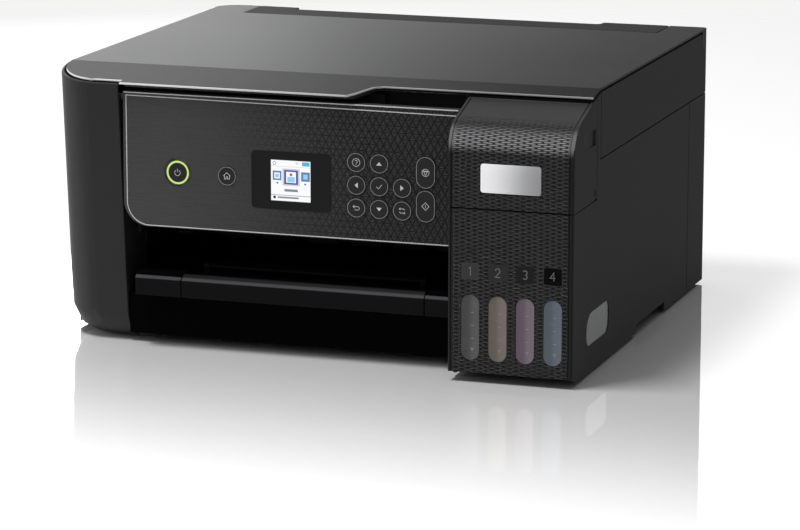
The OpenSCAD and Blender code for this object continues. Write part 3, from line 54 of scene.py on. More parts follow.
# a socket of a material's node tree that can be used in sums
class Signal:
    def __init__(self, tree, socket):
        self.tree = tree
        self.socket = socket

    def node(self, kind, settings=None, inputs=None, output=0):
        made = self.tree.nodes.new(kind)
        for name, value in (settings or {}).items():
            setattr(made, name, value)
        for name, value in (inputs or {}).items():
            if isinstance(value, Signal):
                self.tree.links.new(value.socket, made.inputs[name])
            else:
                made.inputs[name].default_value = value
        return Signal(self.tree, made.outputs[output])

    def maths(self, operation, other=None, turned=False):
        values = [self] if other is None else [self, other]
        if turned:
            values.reverse()
        return self.node("ShaderNodeMath", {"operation": operation}, dict(enumerate(values)))

    def __add__(self, other):
        return self.maths("ADD", other)

    def __radd__(self, other):
        return self.maths("ADD", other, True)

    def __sub__(self, other):
        return self.maths("SUBTRACT", other)

    def __rsub__(self, other):
        return self.maths("SUBTRACT", other, True)

    def __mul__(self, other):
        return self.maths("MULTIPLY", other)

    def __rmul__(self, other):
        return self.maths("MULTIPLY", other, True)

    def __truediv__(self, other):
        return self.maths("DIVIDE", other)

    def __rtruediv__(self, other):
        return self.maths("DIVIDE", other, True)

    def within(self, low, high, start=0.0, end=1.0):
        return self.node(
            "ShaderNodeMapRange", {"interpolation_type": "SMOOTHSTEP"},
            {"Value": self, "From Min": low, "From Max": high, "To Min": start, "To Max": end},
        )

    def axes(self):
        split = self.node("ShaderNodeSeparateXYZ", inputs={"Vector": self}).socket.node
        return [Signal(self.tree, split.outputs[i]) for i in range(3)]

    def blend(self, low, high):
        return self.node("ShaderNodeMix", {"data_type": "RGBA"}, {"Factor": self, 6: low, 7: high}, 2)

    def stretched(self, x, y, z):
        return self.node("ShaderNodeVectorMath", {"operation": "MULTIPLY"}, {0: self, 1: (x, y, z)})

    def scaled(self, amount):
        return self.node("ShaderNodeVectorMath", {"operation": "SCALE"}, {0: self, "Scale": amount})

    def noise(self, scale, detail=2.0, roughness=0.5):
        inputs = {"Vector": self, "Scale": scale, "Detail": detail, "Roughness": roughness}
        return self.node("ShaderNodeTexNoise", inputs=inputs)

    def bump(self, distance):
        return self.node("ShaderNodeBump", inputs={"Height": self, "Distance": distance})


def colourOf(value):
    return (value[0], value[1], value[2], 1.0) if len(value) == 3 else value


# a material with one surface shader; looks may be numbers, colours or signals
def finish(name, looks, alike=None):
    material = bpy.data.materials.new(name)
    material.use_nodes = True
    tree = material.node_tree
    shader = tree.nodes["Principled BSDF"]
    coords = tree.nodes.new("ShaderNodeTexCoord")
    place = Signal(tree, coords.outputs["Object"])
    settings = looks(place) if callable(looks) else looks
    for socket, value in settings.items():
        if isinstance(value, Signal):
            tree.links.new(value.socket, shader.inputs[socket])
        else:
            shader.inputs[socket].default_value = colourOf(value) if isinstance(value, tuple) else value
    if alike:
        material.diffuse_color = colourOf(alike)
    return material


grainLooks = {
    "roughness": 0.42, "specular": 0.3, "grainSize": 2600.0, "grainDepth": 0.00004, "grainRough": 0.05,
    "cloudSize": 14.0, "cloudRough": 0.06, "cloudShare": 0.7, "mottle": 0.10,
}


# fine-grained moulded plastic; extra may add looks of its own
def mouldedPlastic(name, colour, roughness=None, specular=None, depth=None, scale=None, extra=None):
    def looks(place):
        look = grainLooks
        grain = place.noise(scale or look["grainSize"], 2.0, 0.6)
        cloud = place.noise(look["cloudSize"], 3.0, 0.55)
        low = tuple(c * (1 - look["mottle"]) for c in colour) + (1.0,)
        high = tuple(c * (1 + look["mottle"]) for c in colour) + (1.0,)
        rough = (roughness or look["roughness"]) - look["grainRough"]
        mottle = cloud * look["cloudShare"] + grain * (1.0 - look["cloudShare"])
        settings = {
            "Base Color": mottle.blend(low, high),
            "Roughness": cloud * look["cloudRough"] + rough + grain * look["grainRough"],
            "Normal": grain.bump(depth or look["grainDepth"]),
            "Specular IOR Level": look["specular"] if specular is None else specular,
        }
        if extra:
            settings.update(extra(place, grain, settings))
        return settings

    return finish(name, looks, colour)


# 0 in the grooves of a set of parallel lines, 1 between them
def grooved(across, pitch, wide):
    away = ((across / pitch).maths("FRACT") - 0.5).maths("ABSOLUTE")
    return away.within(0.5 - wide, 0.5 - wide * 0.35, 1.0, 0.0)


# painted highlight and shade of the ink cover: dash and gap tones, sheen on the crown, light on the
# flat top
dashLooks = {
    "wide": 0.0081, "row": 0.00128, "depth": 0.00030, "paintedGapShade": 0.05, "paintedRidgeLight": 2.0,
    "crownRadius": 0.022, "crownY": -0.1515, "crownZ": 0.1503, "sheen": 14.0, "paintedTopLight": 1.7,
    "waves": 240.0, "waveHeight": 0.00018, "left": 0.1060, "right": 0.1846,
    "fadeFront": -0.1655, "fadeBack": -0.1530, "ridgeFlat": 0.22, "crownFlat": 0.10, "grainShare": 0.08,
    "sheenFull": 0.35, "sheenFall": 0.45, "sheenEnd": 1.05, "topStart": 0.8, "topEnd": 1.2,
}


# rows of long raised dashes, each row shifted by half a dash; the rows follow the bend of the ink
# cover. The dashes are painted lighter as highlight and the gaps painted darker as shade, a painted
# highlight (sheen) raises the base colour up to 15 times along the crown of the bend, and the flat top
# is painted lighter, about 2.7 times
def dashEmboss(place, grain, settings):
    x, y, z = place.axes()
    look = dashLooks
    turn = (z - look["crownZ"]).maths("ARCTAN2", look["crownY"] - y).maths("MAXIMUM", 0.0)
    run = z.maths("MINIMUM", look["crownZ"]) + turn * look["crownRadius"]
    wave = (x * look["waves"]).maths("SINE") * look["waveHeight"]
    row = (run + wave) / look["row"]
    along = (x / look["wide"] + row.maths("FLOOR") * 0.5).maths("FRACT")
    ridge = (along - 0.5).maths("ABSOLUTE").within(look["ridgeFlat"], 0.50, 1.0, 0.0)
    crown = (row.maths("FRACT") - 0.5).maths("ABSOLUTE").within(look["crownFlat"], 0.50, 1.0, 0.0)
    left, right = look["left"], look["right"]
    across = x.within(left, left + mm) * x.within(right - mm, right, 1.0, 0.0)
    inside = across * y.within(look["fadeFront"], look["fadeBack"], 1.0, 0.0)
    height = ridge * crown * inside
    # painted highlight on the raised dashes, painted shade in the gaps between them
    shade = (height * (look["paintedRidgeLight"] - look["paintedGapShade"]) + look["paintedGapShade"] - 1.0) * inside + 1.0
    # painted highlight along the crown of the bend (sheen) and painted light on the flat top
    bend = turn.within(0.0, look["sheenFull"])
    bend = bend * turn.within(look["sheenFall"], look["sheenEnd"], 1.0, 0.0)
    sheen = bend * look["sheen"] + turn.within(look["topStart"], look["topEnd"]) * look["paintedTopLight"]
    return {
        "Base Color": settings["Base Color"].scaled(shade * (sheen + 1.0)),
        "Normal": (height + grain * look["grainShare"]).bump(look["depth"]),
    }


# left and right: painted light, the panel lighter at its left and darker at its right; the groove tone
# is painted shade in the grooves
latticeLooks = {
    "pitch": 0.0050, "tall": 0.866, "wide": 0.16, "depth": 0.00025, "paintedGrooveShade": 0.15,
    "left": 1.9, "right": 0.8, "sideStart": -0.13, "sideEnd": 0.09,
    "fadeLeft": -0.045, "fadeRight": 0.085, "faintest": 0.06, "faceFront": -0.1447, "faceBack": -0.1443,
}


# crossing lines that leave small triangles, fading into fine level lines towards the left; the grooves
# are painted darker as shade, and the panel is painted lighter at its left and darker at its right
# (about 2.4 to 1) as painted light
def latticeEmboss(place, grain, settings):
    x, y, z = place.axes()
    look = latticeLooks
    height = 1.0
    for turn in (60.0, 120.0, 0.0):
        c, s = math.cos(math.radians(turn)), math.sin(math.radians(turn))
        height = grooved(z * c - x * s, look["pitch"] * look["tall"], look["wide"]) * height
    fade = (x + z * 0.25).within(look["fadeLeft"], look["fadeRight"], look["faintest"], 1.0)
    level = place.stretched(60.0, 1.0, 1500.0).noise(1.0, 2.0, 0.5)
    face = y.within(look["faceFront"], look["faceBack"], 1.0, 0.0)
    grooves = (1.0 - height) * fade * face
    # painted light: lighter at the left, darker at the right
    side = x.within(look["sideStart"], look["sideEnd"], look["left"], look["right"])
    shade = side * (1.0 - grooves * (1.0 - look["paintedGrooveShade"]) + (level - 0.5) * 0.5 * face)
    return {
        "Base Color": settings["Base Color"].scaled(shade),
        "Normal": (level * 0.12 * face + grain * 0.1 - grooves).bump(look["depth"]),
    }


# left and right: painted light, the lid lighter at its left and darker at its right; the groove tone is
# painted shade
weaveLooks = {
    "pitch": 0.0022, "wide": 0.2, "depth": 0.00008, "paintedGrooveShade": 0.72, "start": -0.1125,
    "blur": 0.0012, "sideStart": -0.20, "sideEnd": 0.20, "left": 1.95, "right": 0.24,
}


# the lid is painted paler at its left and darker at its right (about 8 to 1) as painted light; its
# sloping front has a fine slanting weave, its grooves painted darker as shade
def lidWeave(place, grain, settings):
    x, y, _ = place.axes()
    look = weaveLooks
    front = y.within(look["start"] - look["blur"], look["start"], 1.0, 0.0)
    lines = grooved(x * 0.9 - y * 0.7, look["pitch"], look["wide"])
    crossing = grooved(x * 0.35 + y, look["pitch"] * 0.7, look["wide"])
    grooves = (1.0 - lines * crossing) * front
    # painted light: lighter at the left, darker at the right
    side = x.within(look["sideStart"], look["sideEnd"], look["left"], look["right"])
    shade = (1.0 - grooves * (1.0 - look["paintedGrooveShade"])) * side
    return {
        "Base Color": settings["Base Color"].scaled(shade),
        "Normal": (grain * 0.25 - grooves).bump(look["depth"]),
    }


edgeHighlightLooks = {"left": -0.19, "right": 0.15, "dimmest": 0.42}


# painted highlight: the thin rounded edge of the lid is painted light grey, dimmer towards the right
def lidEdgeHighlightLooks(place, grain, settings):
    shade = place.axes()[0].within(edgeHighlightLooks["left"], edgeHighlightLooks["right"], 1.0, edgeHighlightLooks["dimmest"])
    return {"Base Color": settings["Base Color"].scaled(shade)}


barLooks = {
    "low": 0.0472, "lowFull": 0.0480, "highFull": 0.0488, "high": 0.0500,
    "front": -0.1440, "back": -0.1420, "highlightGain": 9.0,
}


# painted highlight: a thin bright line along the bend of the bar's front, up to 10 times the base
# colour
def barPaintedHighlight(place, grain, settings):
    _, y, z = place.axes()
    look = barLooks
    height = z.within(look["low"], look["lowFull"]) * z.within(look["highFull"], look["high"], 1.0, 0.0)
    line = height * y.within(look["front"], look["back"], 1.0, 0.0)
    return {"Base Color": settings["Base Color"].scaled(line * look["highlightGain"] + 1.0)}


# light from a lit screen, a lit ring or a light print
def lit(name, colour):
    return finish(name, {
        "Base Color": (0.01, 0.01, 0.01), "Roughness": 0.4, "Specular IOR Level": 0.1,
        "Emission Color": colour, "Emission Strength": 1.0,
    }, colour)


def printed(name, tone):
    grey = (tone, tone, tone)
    return finish(name, {"Base Color": grey, "Roughness": 0.55, "Specular IOR Level": 0.15}, grey)


def metallic(place, grain, settings):
    return {"Metallic": 1.0}


levelLooks = {
    "first": 0.11865, "pitch": 0.0185, "paintedShadeEnd": 0.38, "paintedLightStart": 0.66,
    "sideStart": 0.1852, "sideEnd": 0.1862, "sideTone": 0.22,
}


# clouded tank plastic, painted darker on the left of each level window and paler on its right as shade
# and light on the dome, and darker in the side window
def tankPlastic(name, low, high):
    def looks(place):
        x = place.axes()[0]
        look = levelLooks
        depth = place.noise(60.0, 2.0, 0.5)
        part = ((x - look["first"]) / look["pitch"] + 0.5).maths("FRACT")
        # painted shade on the left of each level window, painted light on its right
        across = part.within(look["paintedShadeEnd"], look["paintedLightStart"])
        side = x.within(look["sideStart"], look["sideEnd"], 1.0, look["sideTone"])
        tone = (across * 0.8 + depth * 0.2).blend(colourOf(low), colourOf(high))
        return {
            "Base Color": tone.scaled(side),
            "Roughness": depth * 0.06 + 0.24, "Specular IOR Level": 0.12, "Normal": depth.bump(0.00002),
        }

    return finish(name, looks, low)


platePaintedFall = {
    "start": 0.1255, "end": 0.1655, "left": (0.66, 0.66, 0.67, 1.0), "right": (0.23, 0.23, 0.235, 1.0),
}


# brushed plate, painted lighter at its left and darker towards its right end (about 2.9 to 1) as
# painted light
def silverLooks(place):
    brush = place.stretched(40.0, 1.0, 2600.0).noise(1.0, 2.0, 0.6)
    fall = place.axes()[0].within(platePaintedFall["start"], platePaintedFall["end"])
    return {
        "Base Color": (fall + (brush - 0.5) * 0.08).blend(platePaintedFall["left"], platePaintedFall["right"]),
        "Roughness": brush * 0.12 + 0.30, "Metallic": 0.35, "Specular IOR Level": 0.4,
        "Normal": brush.bump(0.00001),
    }


haloLooks = {
    "centre": (-0.0951, -0.145, 0.1204), "start": 0.0056, "near": 0.0074, "reach": 0.0090, "alpha": 0.5,
    "light": (0.16, 0.34, 0.0), "strength": 0.55,
}


# the soft light just outside and inside the lit ring
def glow(place):
    look = haloLooks
    away = place.node(
        "ShaderNodeVectorMath", {"operation": "DISTANCE"}, {0: place, 1: look["centre"]}, 1,
    )
    rise = away.within(look["start"], look["near"])
    fall = away.within(look["near"], look["reach"], 1.0, 0.0)
    return {
        "Base Color": (0.01, 0.02, 0.0), "Roughness": 0.6, "Specular IOR Level": 0.0,
        "Alpha": rise * fall * look["alpha"],
        "Emission Color": look["light"], "Emission Strength": look["strength"],
    }


finishes = {
    "case": mouldedPlastic("caseSatinBlack", (0.0149, 0.0149, 0.0154), 0.44, 0.10),
    "side": mouldedPlastic("sideMattBlack", (0.0166, 0.0166, 0.017), 0.62, 0.02),
    # the ink cover's finish has painted highlight and shade in its base colour
    "cover": mouldedPlastic(
        "coverEmbossedBlackPaintedSheen", (0.0072, 0.0072, 0.0074), 0.40, 0.07, extra=dashEmboss,
    ),
    "panel": mouldedPlastic(
        "panelLatticeBlackPaintedFall", (0.0197, 0.0197, 0.0202), 0.46, 0.10, extra=latticeEmboss,
    ),
    "lid": mouldedPlastic(
        "lidGreySatinPaintedFall", (0.0492, 0.0492, 0.05), 0.50, 0.02, 0.00006, 1500.0, extra=lidWeave,
    ),
    "lidEdge": mouldedPlastic("lidEdgePaintedHighlight", (0.5586, 0.5586, 0.5586), 0.40, 0.2, extra=lidEdgeHighlightLooks),
    "tray": mouldedPlastic("traySmoothBlack", (0.004, 0.004, 0.0043), 0.42, 0.02, extra=barPaintedHighlight),
    "inner": mouldedPlastic("innerBlack", (0.004, 0.004, 0.0043), 0.55, 0.03),
    # painted shade: the lower case under the bar is made near black, darker than the case
    "under": mouldedPlastic("basePaintedShadeBlack", (0.0016, 0.0016, 0.0017), 0.60, 0.0, extra=barPaintedHighlight),
    "gloss": finish("bezelSatinBlack", {
        "Base Color": (0.0053, 0.0053, 0.0057), "Roughness": 0.34, "Specular IOR Level": 0.08,
    }),
    "button": mouldedPlastic("buttonSatinBlack", (0.0113, 0.0113, 0.012), 0.42, 0.10),
    "steel": mouldedPlastic("rolledSteel", (0.42, 0.43, 0.45), 0.32, 0.5, extra=metallic),
    "motor": mouldedPlastic("motorCan", (0.30, 0.31, 0.33), 0.38, 0.5, extra=metallic),
    "rubber": mouldedPlastic("rollerRubber", (0.022, 0.022, 0.023), 0.72, 0.2),
    "felt": mouldedPlastic("absorberFelt", (0.62, 0.60, 0.54), 0.95, 0.1, 0.0004, 900.0),
    "board": mouldedPlastic("boardGreen", (0.015, 0.10, 0.045), 0.45),
    "pad": mouldedPlastic("padWhite", (0.80, 0.80, 0.78), 0.85, 0.2, 0.0002, 1200.0),
    "tankGrey": tankPlastic("tankSmoke", (0.0372, 0.0372, 0.0372), (0.0745, 0.0745, 0.0745)),
    "tankYellow": tankPlastic("tankStraw", (0.0825, 0.0745, 0.0585), (0.1436, 0.1224, 0.1144)),
    "tankMagenta": tankPlastic("tankMauve", (0.0825, 0.0585, 0.0771), (0.1383, 0.1144, 0.133)),
    "tankCyan": tankPlastic("tankSlate", (0.0559, 0.0718, 0.0825), (0.0958, 0.1064, 0.1383)),
    "capBlack": mouldedPlastic("capBlackPlastic", (0.02, 0.02, 0.02), 0.4),
    "capYellow": mouldedPlastic("capYellowPlastic", (0.75, 0.52, 0.02), 0.4),
    "capMagenta": mouldedPlastic("capMagentaPlastic", (0.55, 0.02, 0.22), 0.4),
    "capCyan": mouldedPlastic("capCyanPlastic", (0.01, 0.30, 0.62), 0.4),
    "glass": finish("scanGlass", {
        "Base Color": (0.75, 0.85, 0.86), "Roughness": 0.03, "Transmission Weight": 0.9, "IOR": 1.5,
    }),
    "silver": finish("badgeBrushed", silverLooks, (0.5, 0.5, 0.5)),
    "bead": printed("beadPaintedHighlight", 0.372),
    "outline": printed("buttonOutline", 0.200),
    "mark": printed("symbolPrint", 0.439),
    "numeral": printed("numeralPrint", 0.100),
    "tick": printed("tickPrint", 0.200),
    "glint": printed("glintLine", 0.399),
    "labelOne": mouldedPlastic("labelToneOne", (0.016, 0.016, 0.0166), 0.45, 0.18),
    "labelTwo": mouldedPlastic("labelToneTwo", (0.01, 0.01, 0.0106), 0.45, 0.14),
    "labelThree": mouldedPlastic("labelToneThree", (0.0053, 0.0053, 0.0056), 0.45, 0.08),
    "labelFour": mouldedPlastic("labelToneFour", (0.0016, 0.0016, 0.0017), 0.45, 0.02),
    "ring": lit("ringGreen", (0.62, 0.76, 0.27)),
    "halo": finish("ringHalo", glow, haloLooks["light"]),
    "screenWhite": lit("screenWhite", (0.93, 0.95, 0.97)),
    "screenPale": lit("screenPale", (0.62, 0.62, 0.70)),
    "screenGrey": lit("screenGrey", (0.22, 0.23, 0.25)),
    "screenBlack": lit("screenBlack", (0.02, 0.02, 0.03)),
    "screenBlue": lit("screenBlue", (0.055, 0.085, 0.30)),
    "screenSlate": lit("screenSlate", (0.12, 0.22, 0.38)),
    "screenSky": lit("screenSky", (0.30, 0.60, 0.90)),
    "screenCyan": lit("screenCyan", (0.08, 0.45, 0.60)),
    "screenRed": lit("screenRed", (0.50, 0.08, 0.06)),
}
print("printer: finishes made")

slotOfFinish = {
    "case": "case_black", "side": "case_black", "tray": "case_black", "cover": "cover_black",
    "panel": "panel_black", "lid": "lid_grey", "lidEdge": "lid_grey", "inner": "inner_black",
    "under": "inner_black", "gloss": "display_gloss", "button": "button_black",
    "silver": "badge_silver", "bead": "mark_white", "outline": "mark_white", "mark": "mark_white",
    "numeral": "mark_white", "tick": "mark_white", "glint": "mark_white", "ring": "ring_green",
    "halo": "ring_green", "labelOne": "cover_black", "labelTwo": "cover_black",
    "labelThree": "cover_black", "labelFour": "cover_black", "tankGrey": "tank_grey",
    "tankYellow": "tank_beige", "tankMagenta": "tank_mauve", "tankCyan": "tank_blue",
}

# the buttons aren't listed here and take the button finish
finishOfNode = {
    "lower_case": "under", "left_column": "case", "right_side_cover": "side", "rear_case": "side",
    "tank_fascia": "cover", "tank_frame": "case", "paper_guide": "inner",
    "carriage_rail": "steel", "platen": "inner", "ink_tank_black": "tankGrey",
    "ink_tank_yellow": "tankYellow", "ink_tank_magenta": "tankMagenta",
    "ink_tank_cyan": "tankCyan", "waste_ink_pad": "felt", "capping_station": "inner",
    "main_board": "board", "power_supply": "inner", "carriage_motor": "motor",
    "feed_motor": "motor", "drive_belt": "rubber", "mains_inlet": "inner", "usb_port": "steel",
    "rubber_feet": "rubber", "print_carriage": "inner", "idler_pulley": "steel",
    "motor_pulley": "steel", "feed_roller": "rubber", "eject_roller": "rubber",
    "pickup_roller": "rubber", "edge_guide_left": "inner", "edge_guide_right": "inner",
    "paper_support": "side", "output_tray": "tray", "tray_extension": "tray",
    "paper_stopper": "tray", "exit_guide": "inner", "ink_cover": "cover", "cap_black": "capBlack",
    "cap_yellow": "capYellow", "cap_magenta": "capMagenta", "cap_cyan": "capCyan",
    "scanner_case": "side", "scanner_glass": "glass", "sensor_bar": "inner",
    "document_cover": "lid", "backing_pad": "pad", "control_panel": "panel",
    "display_window": "gloss",
}


# a piece from a bmesh, shown with one finish and moved by the body of a node
def newPiece(name, work, look, node, sharp=30.0):
    mesh = bpy.data.meshes.new(name)
    bmesh.ops.recalc_face_normals(work, faces=work.faces)
    for face in work.faces:
        face.smooth = True
    work.to_mesh(mesh)
    work.free()
    mesh.set_sharp_from_angle(angle=math.radians(sharp))
    mesh.materials.append(finishes[look])
    piece = bpy.data.objects.new(name, mesh)
    bpy.context.collection.objects.link(piece)
    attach(piece, bodyOfNode[node])
    look in slotOfFinish
    return piece


roundLooks = {"weld": 2e-6, "flat": 0.4, "angle": 30.0, "shortest": 2.0, "segments": 2, "sharp": 22.0}


# an outer part with its edges rounded a little; second gives some of its faces another finish
def roundedPart(node, width, frontDrop=0.0, second=None):
    look = roundLooks
    work = bmesh.new()
    work.from_mesh(frame["nodes"][node].data)
    bmesh.ops.remove_doubles(work, verts=work.verts, dist=look["weld"])
    bmesh.ops.dissolve_limit(
        work, angle_limit=math.radians(look["flat"]), verts=work.verts, edges=work.edges,
        use_dissolve_boundaries=False,
    )
    sharp = [
        edge for edge in work.edges
        if len(edge.link_faces) == 2 and edge.calc_length() >= look["shortest"] * mm
        and edge.calc_face_angle(0.0) >= math.radians(look["angle"])
    ]
    if sharp:
        bmesh.ops.bevel(
            work, geom=sharp, offset=width * mm, offset_type="OFFSET", segments=look["segments"],
            profile=0.5, affect="EDGES", clamp_overlap=False, material=-1,
        )
    if frontDrop:
        front = min(vertex.co.y for vertex in work.verts)
        for vertex in work.verts:
            if vertex.co.y < front + frontDrop * mm:
                vertex.co.y = front + frontDrop * mm
    bmesh.ops.recalc_face_normals(work, faces=work.faces)
    for face in work.faces:
        face.material_index = 1 if second and second[1](face.normal, face.calc_center_median()) else 0
    piece = newPiece(node + "Rounded", work, finishOfNode[node], node, look["sharp"])
    if second:
        piece.data.materials.append(finishes[second[0]])
    weigh = piece.modifiers.new("evenShade", "WEIGHTED_NORMAL")
    weigh.keep_sharp = True
    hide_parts(node)


# how much each edge is rounded, in millimetres
roundedWidths = {
    "lower_case": 0.4, "left_column": 0.6, "right_side_cover": 0.5, "rear_case": 0.5,
    "control_panel": 0.45, "document_cover": 0.5, "scanner_case": 0.4, "output_tray": 0.5,
    "tray_extension": 0.4, "paper_stopper": 0.4, "paper_support": 0.5, "tank_frame": 0.4,
}
embossedParts = ("tank_fascia", "ink_cover")
embossedWidth = 0.5
printDrop = 0.12  # how far back the embossed fronts sit, in millimetres, so that labels fit

# where the second finishes start, in metres, and how far their faces have to turn that way
secondLooks = {
    "lidBend": -0.112, "lidSlope": 0.193, "lidTop": 0.187, "lipHeight": 0.0013, "lipTurn": 0.35,
    "rightTurn": 0.7, "frontTurn": 0.5, "frontY": -0.172, "barY": -0.1475, "barZ": 0.034,
}


# the front of the lid's thin lip, which takes the painted highlight
def onLipEdge(normal, centre):
    look = secondLooks
    top = look["lidTop"] + look["lidSlope"] * min(0.0, centre.y - look["lidBend"])
    return normal.y < -look["lipTurn"] and centre.z > top - look["lipHeight"]


def facesRight(normal, centre):
    return normal.x > secondLooks["rightTurn"]


def facesFront(normal, centre):
    return normal.y < -secondLooks["frontTurn"] and centre.y < secondLooks["frontY"]


# the fixed ends of the bar across the paper exit
def onBar(normal, centre):
    return centre.y < secondLooks["barY"] and centre.z > secondLooks["barZ"]


secondFinish = {
    "document_cover": ("lidEdge", onLipEdge), "right_side_cover": ("cover", facesFront),
    "lower_case": ("tray", onBar),
}
for node, width in roundedWidths.items():
    roundedPart(node, width, second=secondFinish.get(node))
for node in embossedParts:
    roundedPart(node, embossedWidth, printDrop, ("side", facesRight))
for node, solid in frame["nodes"].items():
    if node in roundedWidths or node in embossedParts:
        continue
    look = finishes[finishOfNode.get(node, "button")]
    for slot in solid.material_slots:
        slot.link = "OBJECT"
        slot.material = look
print("printer: outer parts rounded")


def arc(x, z, r, start, end, steps):
    turns = [math.radians(start + (end - start) * i / steps) for i in range(steps + 1)]
    return [(x + r * math.cos(turn), z + r * math.sin(turn)) for turn in turns]


def roundedOutline(x0, x1, z0, z1, r, steps):
    return (
        arc(x0 + r, z0 + r, r, 180, 270, steps) + arc(x1 - r, z0 + r, r, 270, 360, steps)
        + arc(x1 - r, z1 - r, r, 0, 90, steps) + arc(x0 + r, z1 - r, r, 90, 180, steps)
    )


# a thin solid with the outline drawn in (x, z), in millimetres, growing forwards from back
def flatShape(work, outline, back, thick):
    corners = [work.verts.new((x * mm, back * mm, z * mm)) for x, z in outline]
    grown = bmesh.ops.extrude_face_region(work, geom=[work.faces.new(corners)])
    moved = [item for item in grown["geom"] if isinstance(item, bmesh.types.BMVert)]
    bmesh.ops.translate(work, verts=moved, vec=(0.0, -thick * mm, 0.0))


# a bar with a given section swept along a path in (x, z); the section is (across, forwards)
def sweep(work, path, section, back, closed=False):
    clean = [path[0]]
    for point in path[1:]:
        if math.dist(point, clean[-1]) > 1e-4:
            clean.append(point)
    if closed and math.dist(clean[0], clean[-1]) < 1e-4:
        clean.pop()
    rings = []
    count = len(clean)
    for i, (x, z) in enumerate(clean):
        before = clean[i - 1] if closed or i else None
        after = clean[(i + 1) % count] if closed or i < count - 1 else None
        sides = []
        for a, b in ((before, (x, z)), ((x, z), after)):
            if a and b:
                run = math.dist(a, b)
                sides.append(((a[1] - b[1]) / run, (b[0] - a[0]) / run))
        nx, nz = sum(side[0] for side in sides), sum(side[1] for side in sides)
        size = math.hypot(nx, nz) or 1.0
        nx, nz = nx / size, nz / size
        mitre = 1.0 / max(0.5, nx * sides[0][0] + nz * sides[0][1])
        nx, nz = nx * mitre, nz * mitre
        rings.append([
            work.verts.new(((x + nx * across) * mm, (back - forwards) * mm, (z + nz * across) * mm))
            for across, forwards in section
        ])
    spans = len(rings) if closed else len(rings) - 1
    for i in range(spans):
        here, there = rings[i], rings[(i + 1) % count]
        for j in range(len(section)):
            k = (j + 1) % len(section)
            work.faces.new((here[j], here[k], there[k], there[j]))
    if not closed:
        work.faces.new(rings[0])
        work.faces.new(list(reversed(rings[-1])))


def barSection(width, thick):
    return [(-width / 2, 0.0), (-width / 2, thick), (width / 2, thick), (width / 2, 0.0)]


def strokes(work, paths, width, back, thick=0.05):
    for path in paths:
        sweep(work, path, barSection(width, thick), back, path[0] == path[-1])


def centreOf(node):
    low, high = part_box(node)
    return ((low[0] + high[0]) / 2 / mm, (low[2] + high[2]) / 2 / mm)


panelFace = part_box("control_panel")[0][1] / mm
panelCorners = [vertex.co for vertex in frame["nodes"]["control_panel"].data.vertices]
frontCorners = [co.x / mm for co in panelCorners if co.y < (panelFace + 0.01) * mm]
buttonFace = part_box("button_home")[0][1] / mm
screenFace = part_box("display_window")[0][1] / mm

# the fine bead round the panel, and a second line along its top edge, both printed pale as painted
# highlight
beadLooks = {
    "left": 2.5, "top": 2.6, "topRight": 4.2, "right": 0.8, "bottom": 0.75, "width": 0.8,
    "height": 0.16, "corner": 15.5, "smallCorner": 3.0,
    "lineTop": 0.65, "lineLeft": 0.8, "lineRight": 0.5,
}


def panelBead():
    look = beadLooks
    z0, z1 = [corner[2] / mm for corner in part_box("control_panel")]
    x0, x1 = min(frontCorners), max(frontCorners)
    big, small = look["corner"], look["smallCorner"]
    path = arc(x0 + look["left"] + big, z0 + look["bottom"] + big, big, 180, 270, 16)
    path += arc(x1 - look["right"] - small, z0 + look["bottom"] + small, small, 270, 360, 6)
    path += [(x1 - look["right"], z1 - look["topRight"]), (x0 + look["left"], z1 - look["top"])]
    half, tall = look["width"] / 2, look["height"]
    section = [
        (-half, -0.1), (-half * 0.7, tall * 0.7), (0.0, tall), (half * 0.7, tall * 0.7), (half, -0.1),
    ]
    work = bmesh.new()
    sweep(work, path, section, panelFace, True)
    newPiece("panelBead", work, "bead", "control_panel", 60.0)
    work = bmesh.new()
    z = z1 - look["lineTop"]
    sweep(work, [(x0 + look["lineLeft"], z), (x1 - look["lineRight"], z)], section, panelFace)
    newPiece("panelTopHighlight", work, "bead", "control_panel", 60.0)


# a lit ring round the power button, and the faint light round it
ringLooks = {
    "radius": 7.3, "tube": 0.62, "flatter": 0.6, "sides": 8,
    "haloRadius": 7.9, "haloWidth": 3.4, "haloThick": 0.04,
}


def powerRing():
    x, z = centreOf("button_power")
    look = ringLooks
    turns = [2 * math.pi * i / look["sides"] for i in range(look["sides"])]
    wide, deep = look["tube"], look["tube"] * look["flatter"]
    tube = [(wide * math.cos(turn), deep * math.sin(turn)) for turn in turns]
    work = bmesh.new()
    sweep(work, arc(x, z, look["radius"], 0, 360, 72), tube, panelFace, True)
    newPiece("powerRing", work, "ring", "control_panel", 60.0)
    work = bmesh.new()
    section = barSection(look["haloWidth"], look["haloThick"])
    sweep(work, arc(x, z, look["haloRadius"], 0, 360, 48), section, panelFace, True)
    newPiece("powerHalo", work, "halo", "control_panel")


# symbols on the buttons, each drawn about its button's centre
symbolLooks = {"stroke": 0.32, "outline": 0.34, "inset": 0.18, "arrowWide": 3.7, "arrowTall": 2.3}


def triangle(x, z, size, turn):
    turns = [math.radians(turn + step) for step in (0, 125, 235)]
    return [(x + size * math.cos(t), z + size * math.sin(t)) for t in turns]


# a shape drawn about the origin, shifted to (x, z)
def shifted(x, z, points):
    return [(x + a, z + b) for a, b in points]


def arrowShape(x, z, turn):
    wide, tall = symbolLooks["arrowWide"] / 2, symbolLooks["arrowTall"] / 2
    c, s = math.cos(math.radians(turn)), math.sin(math.radians(turn))
    corners = ((tall, 0.0), (-tall, wide), (-tall, -wide))
    return [(x + a * c - b * s, z + a * s + b * c) for a, b in corners]


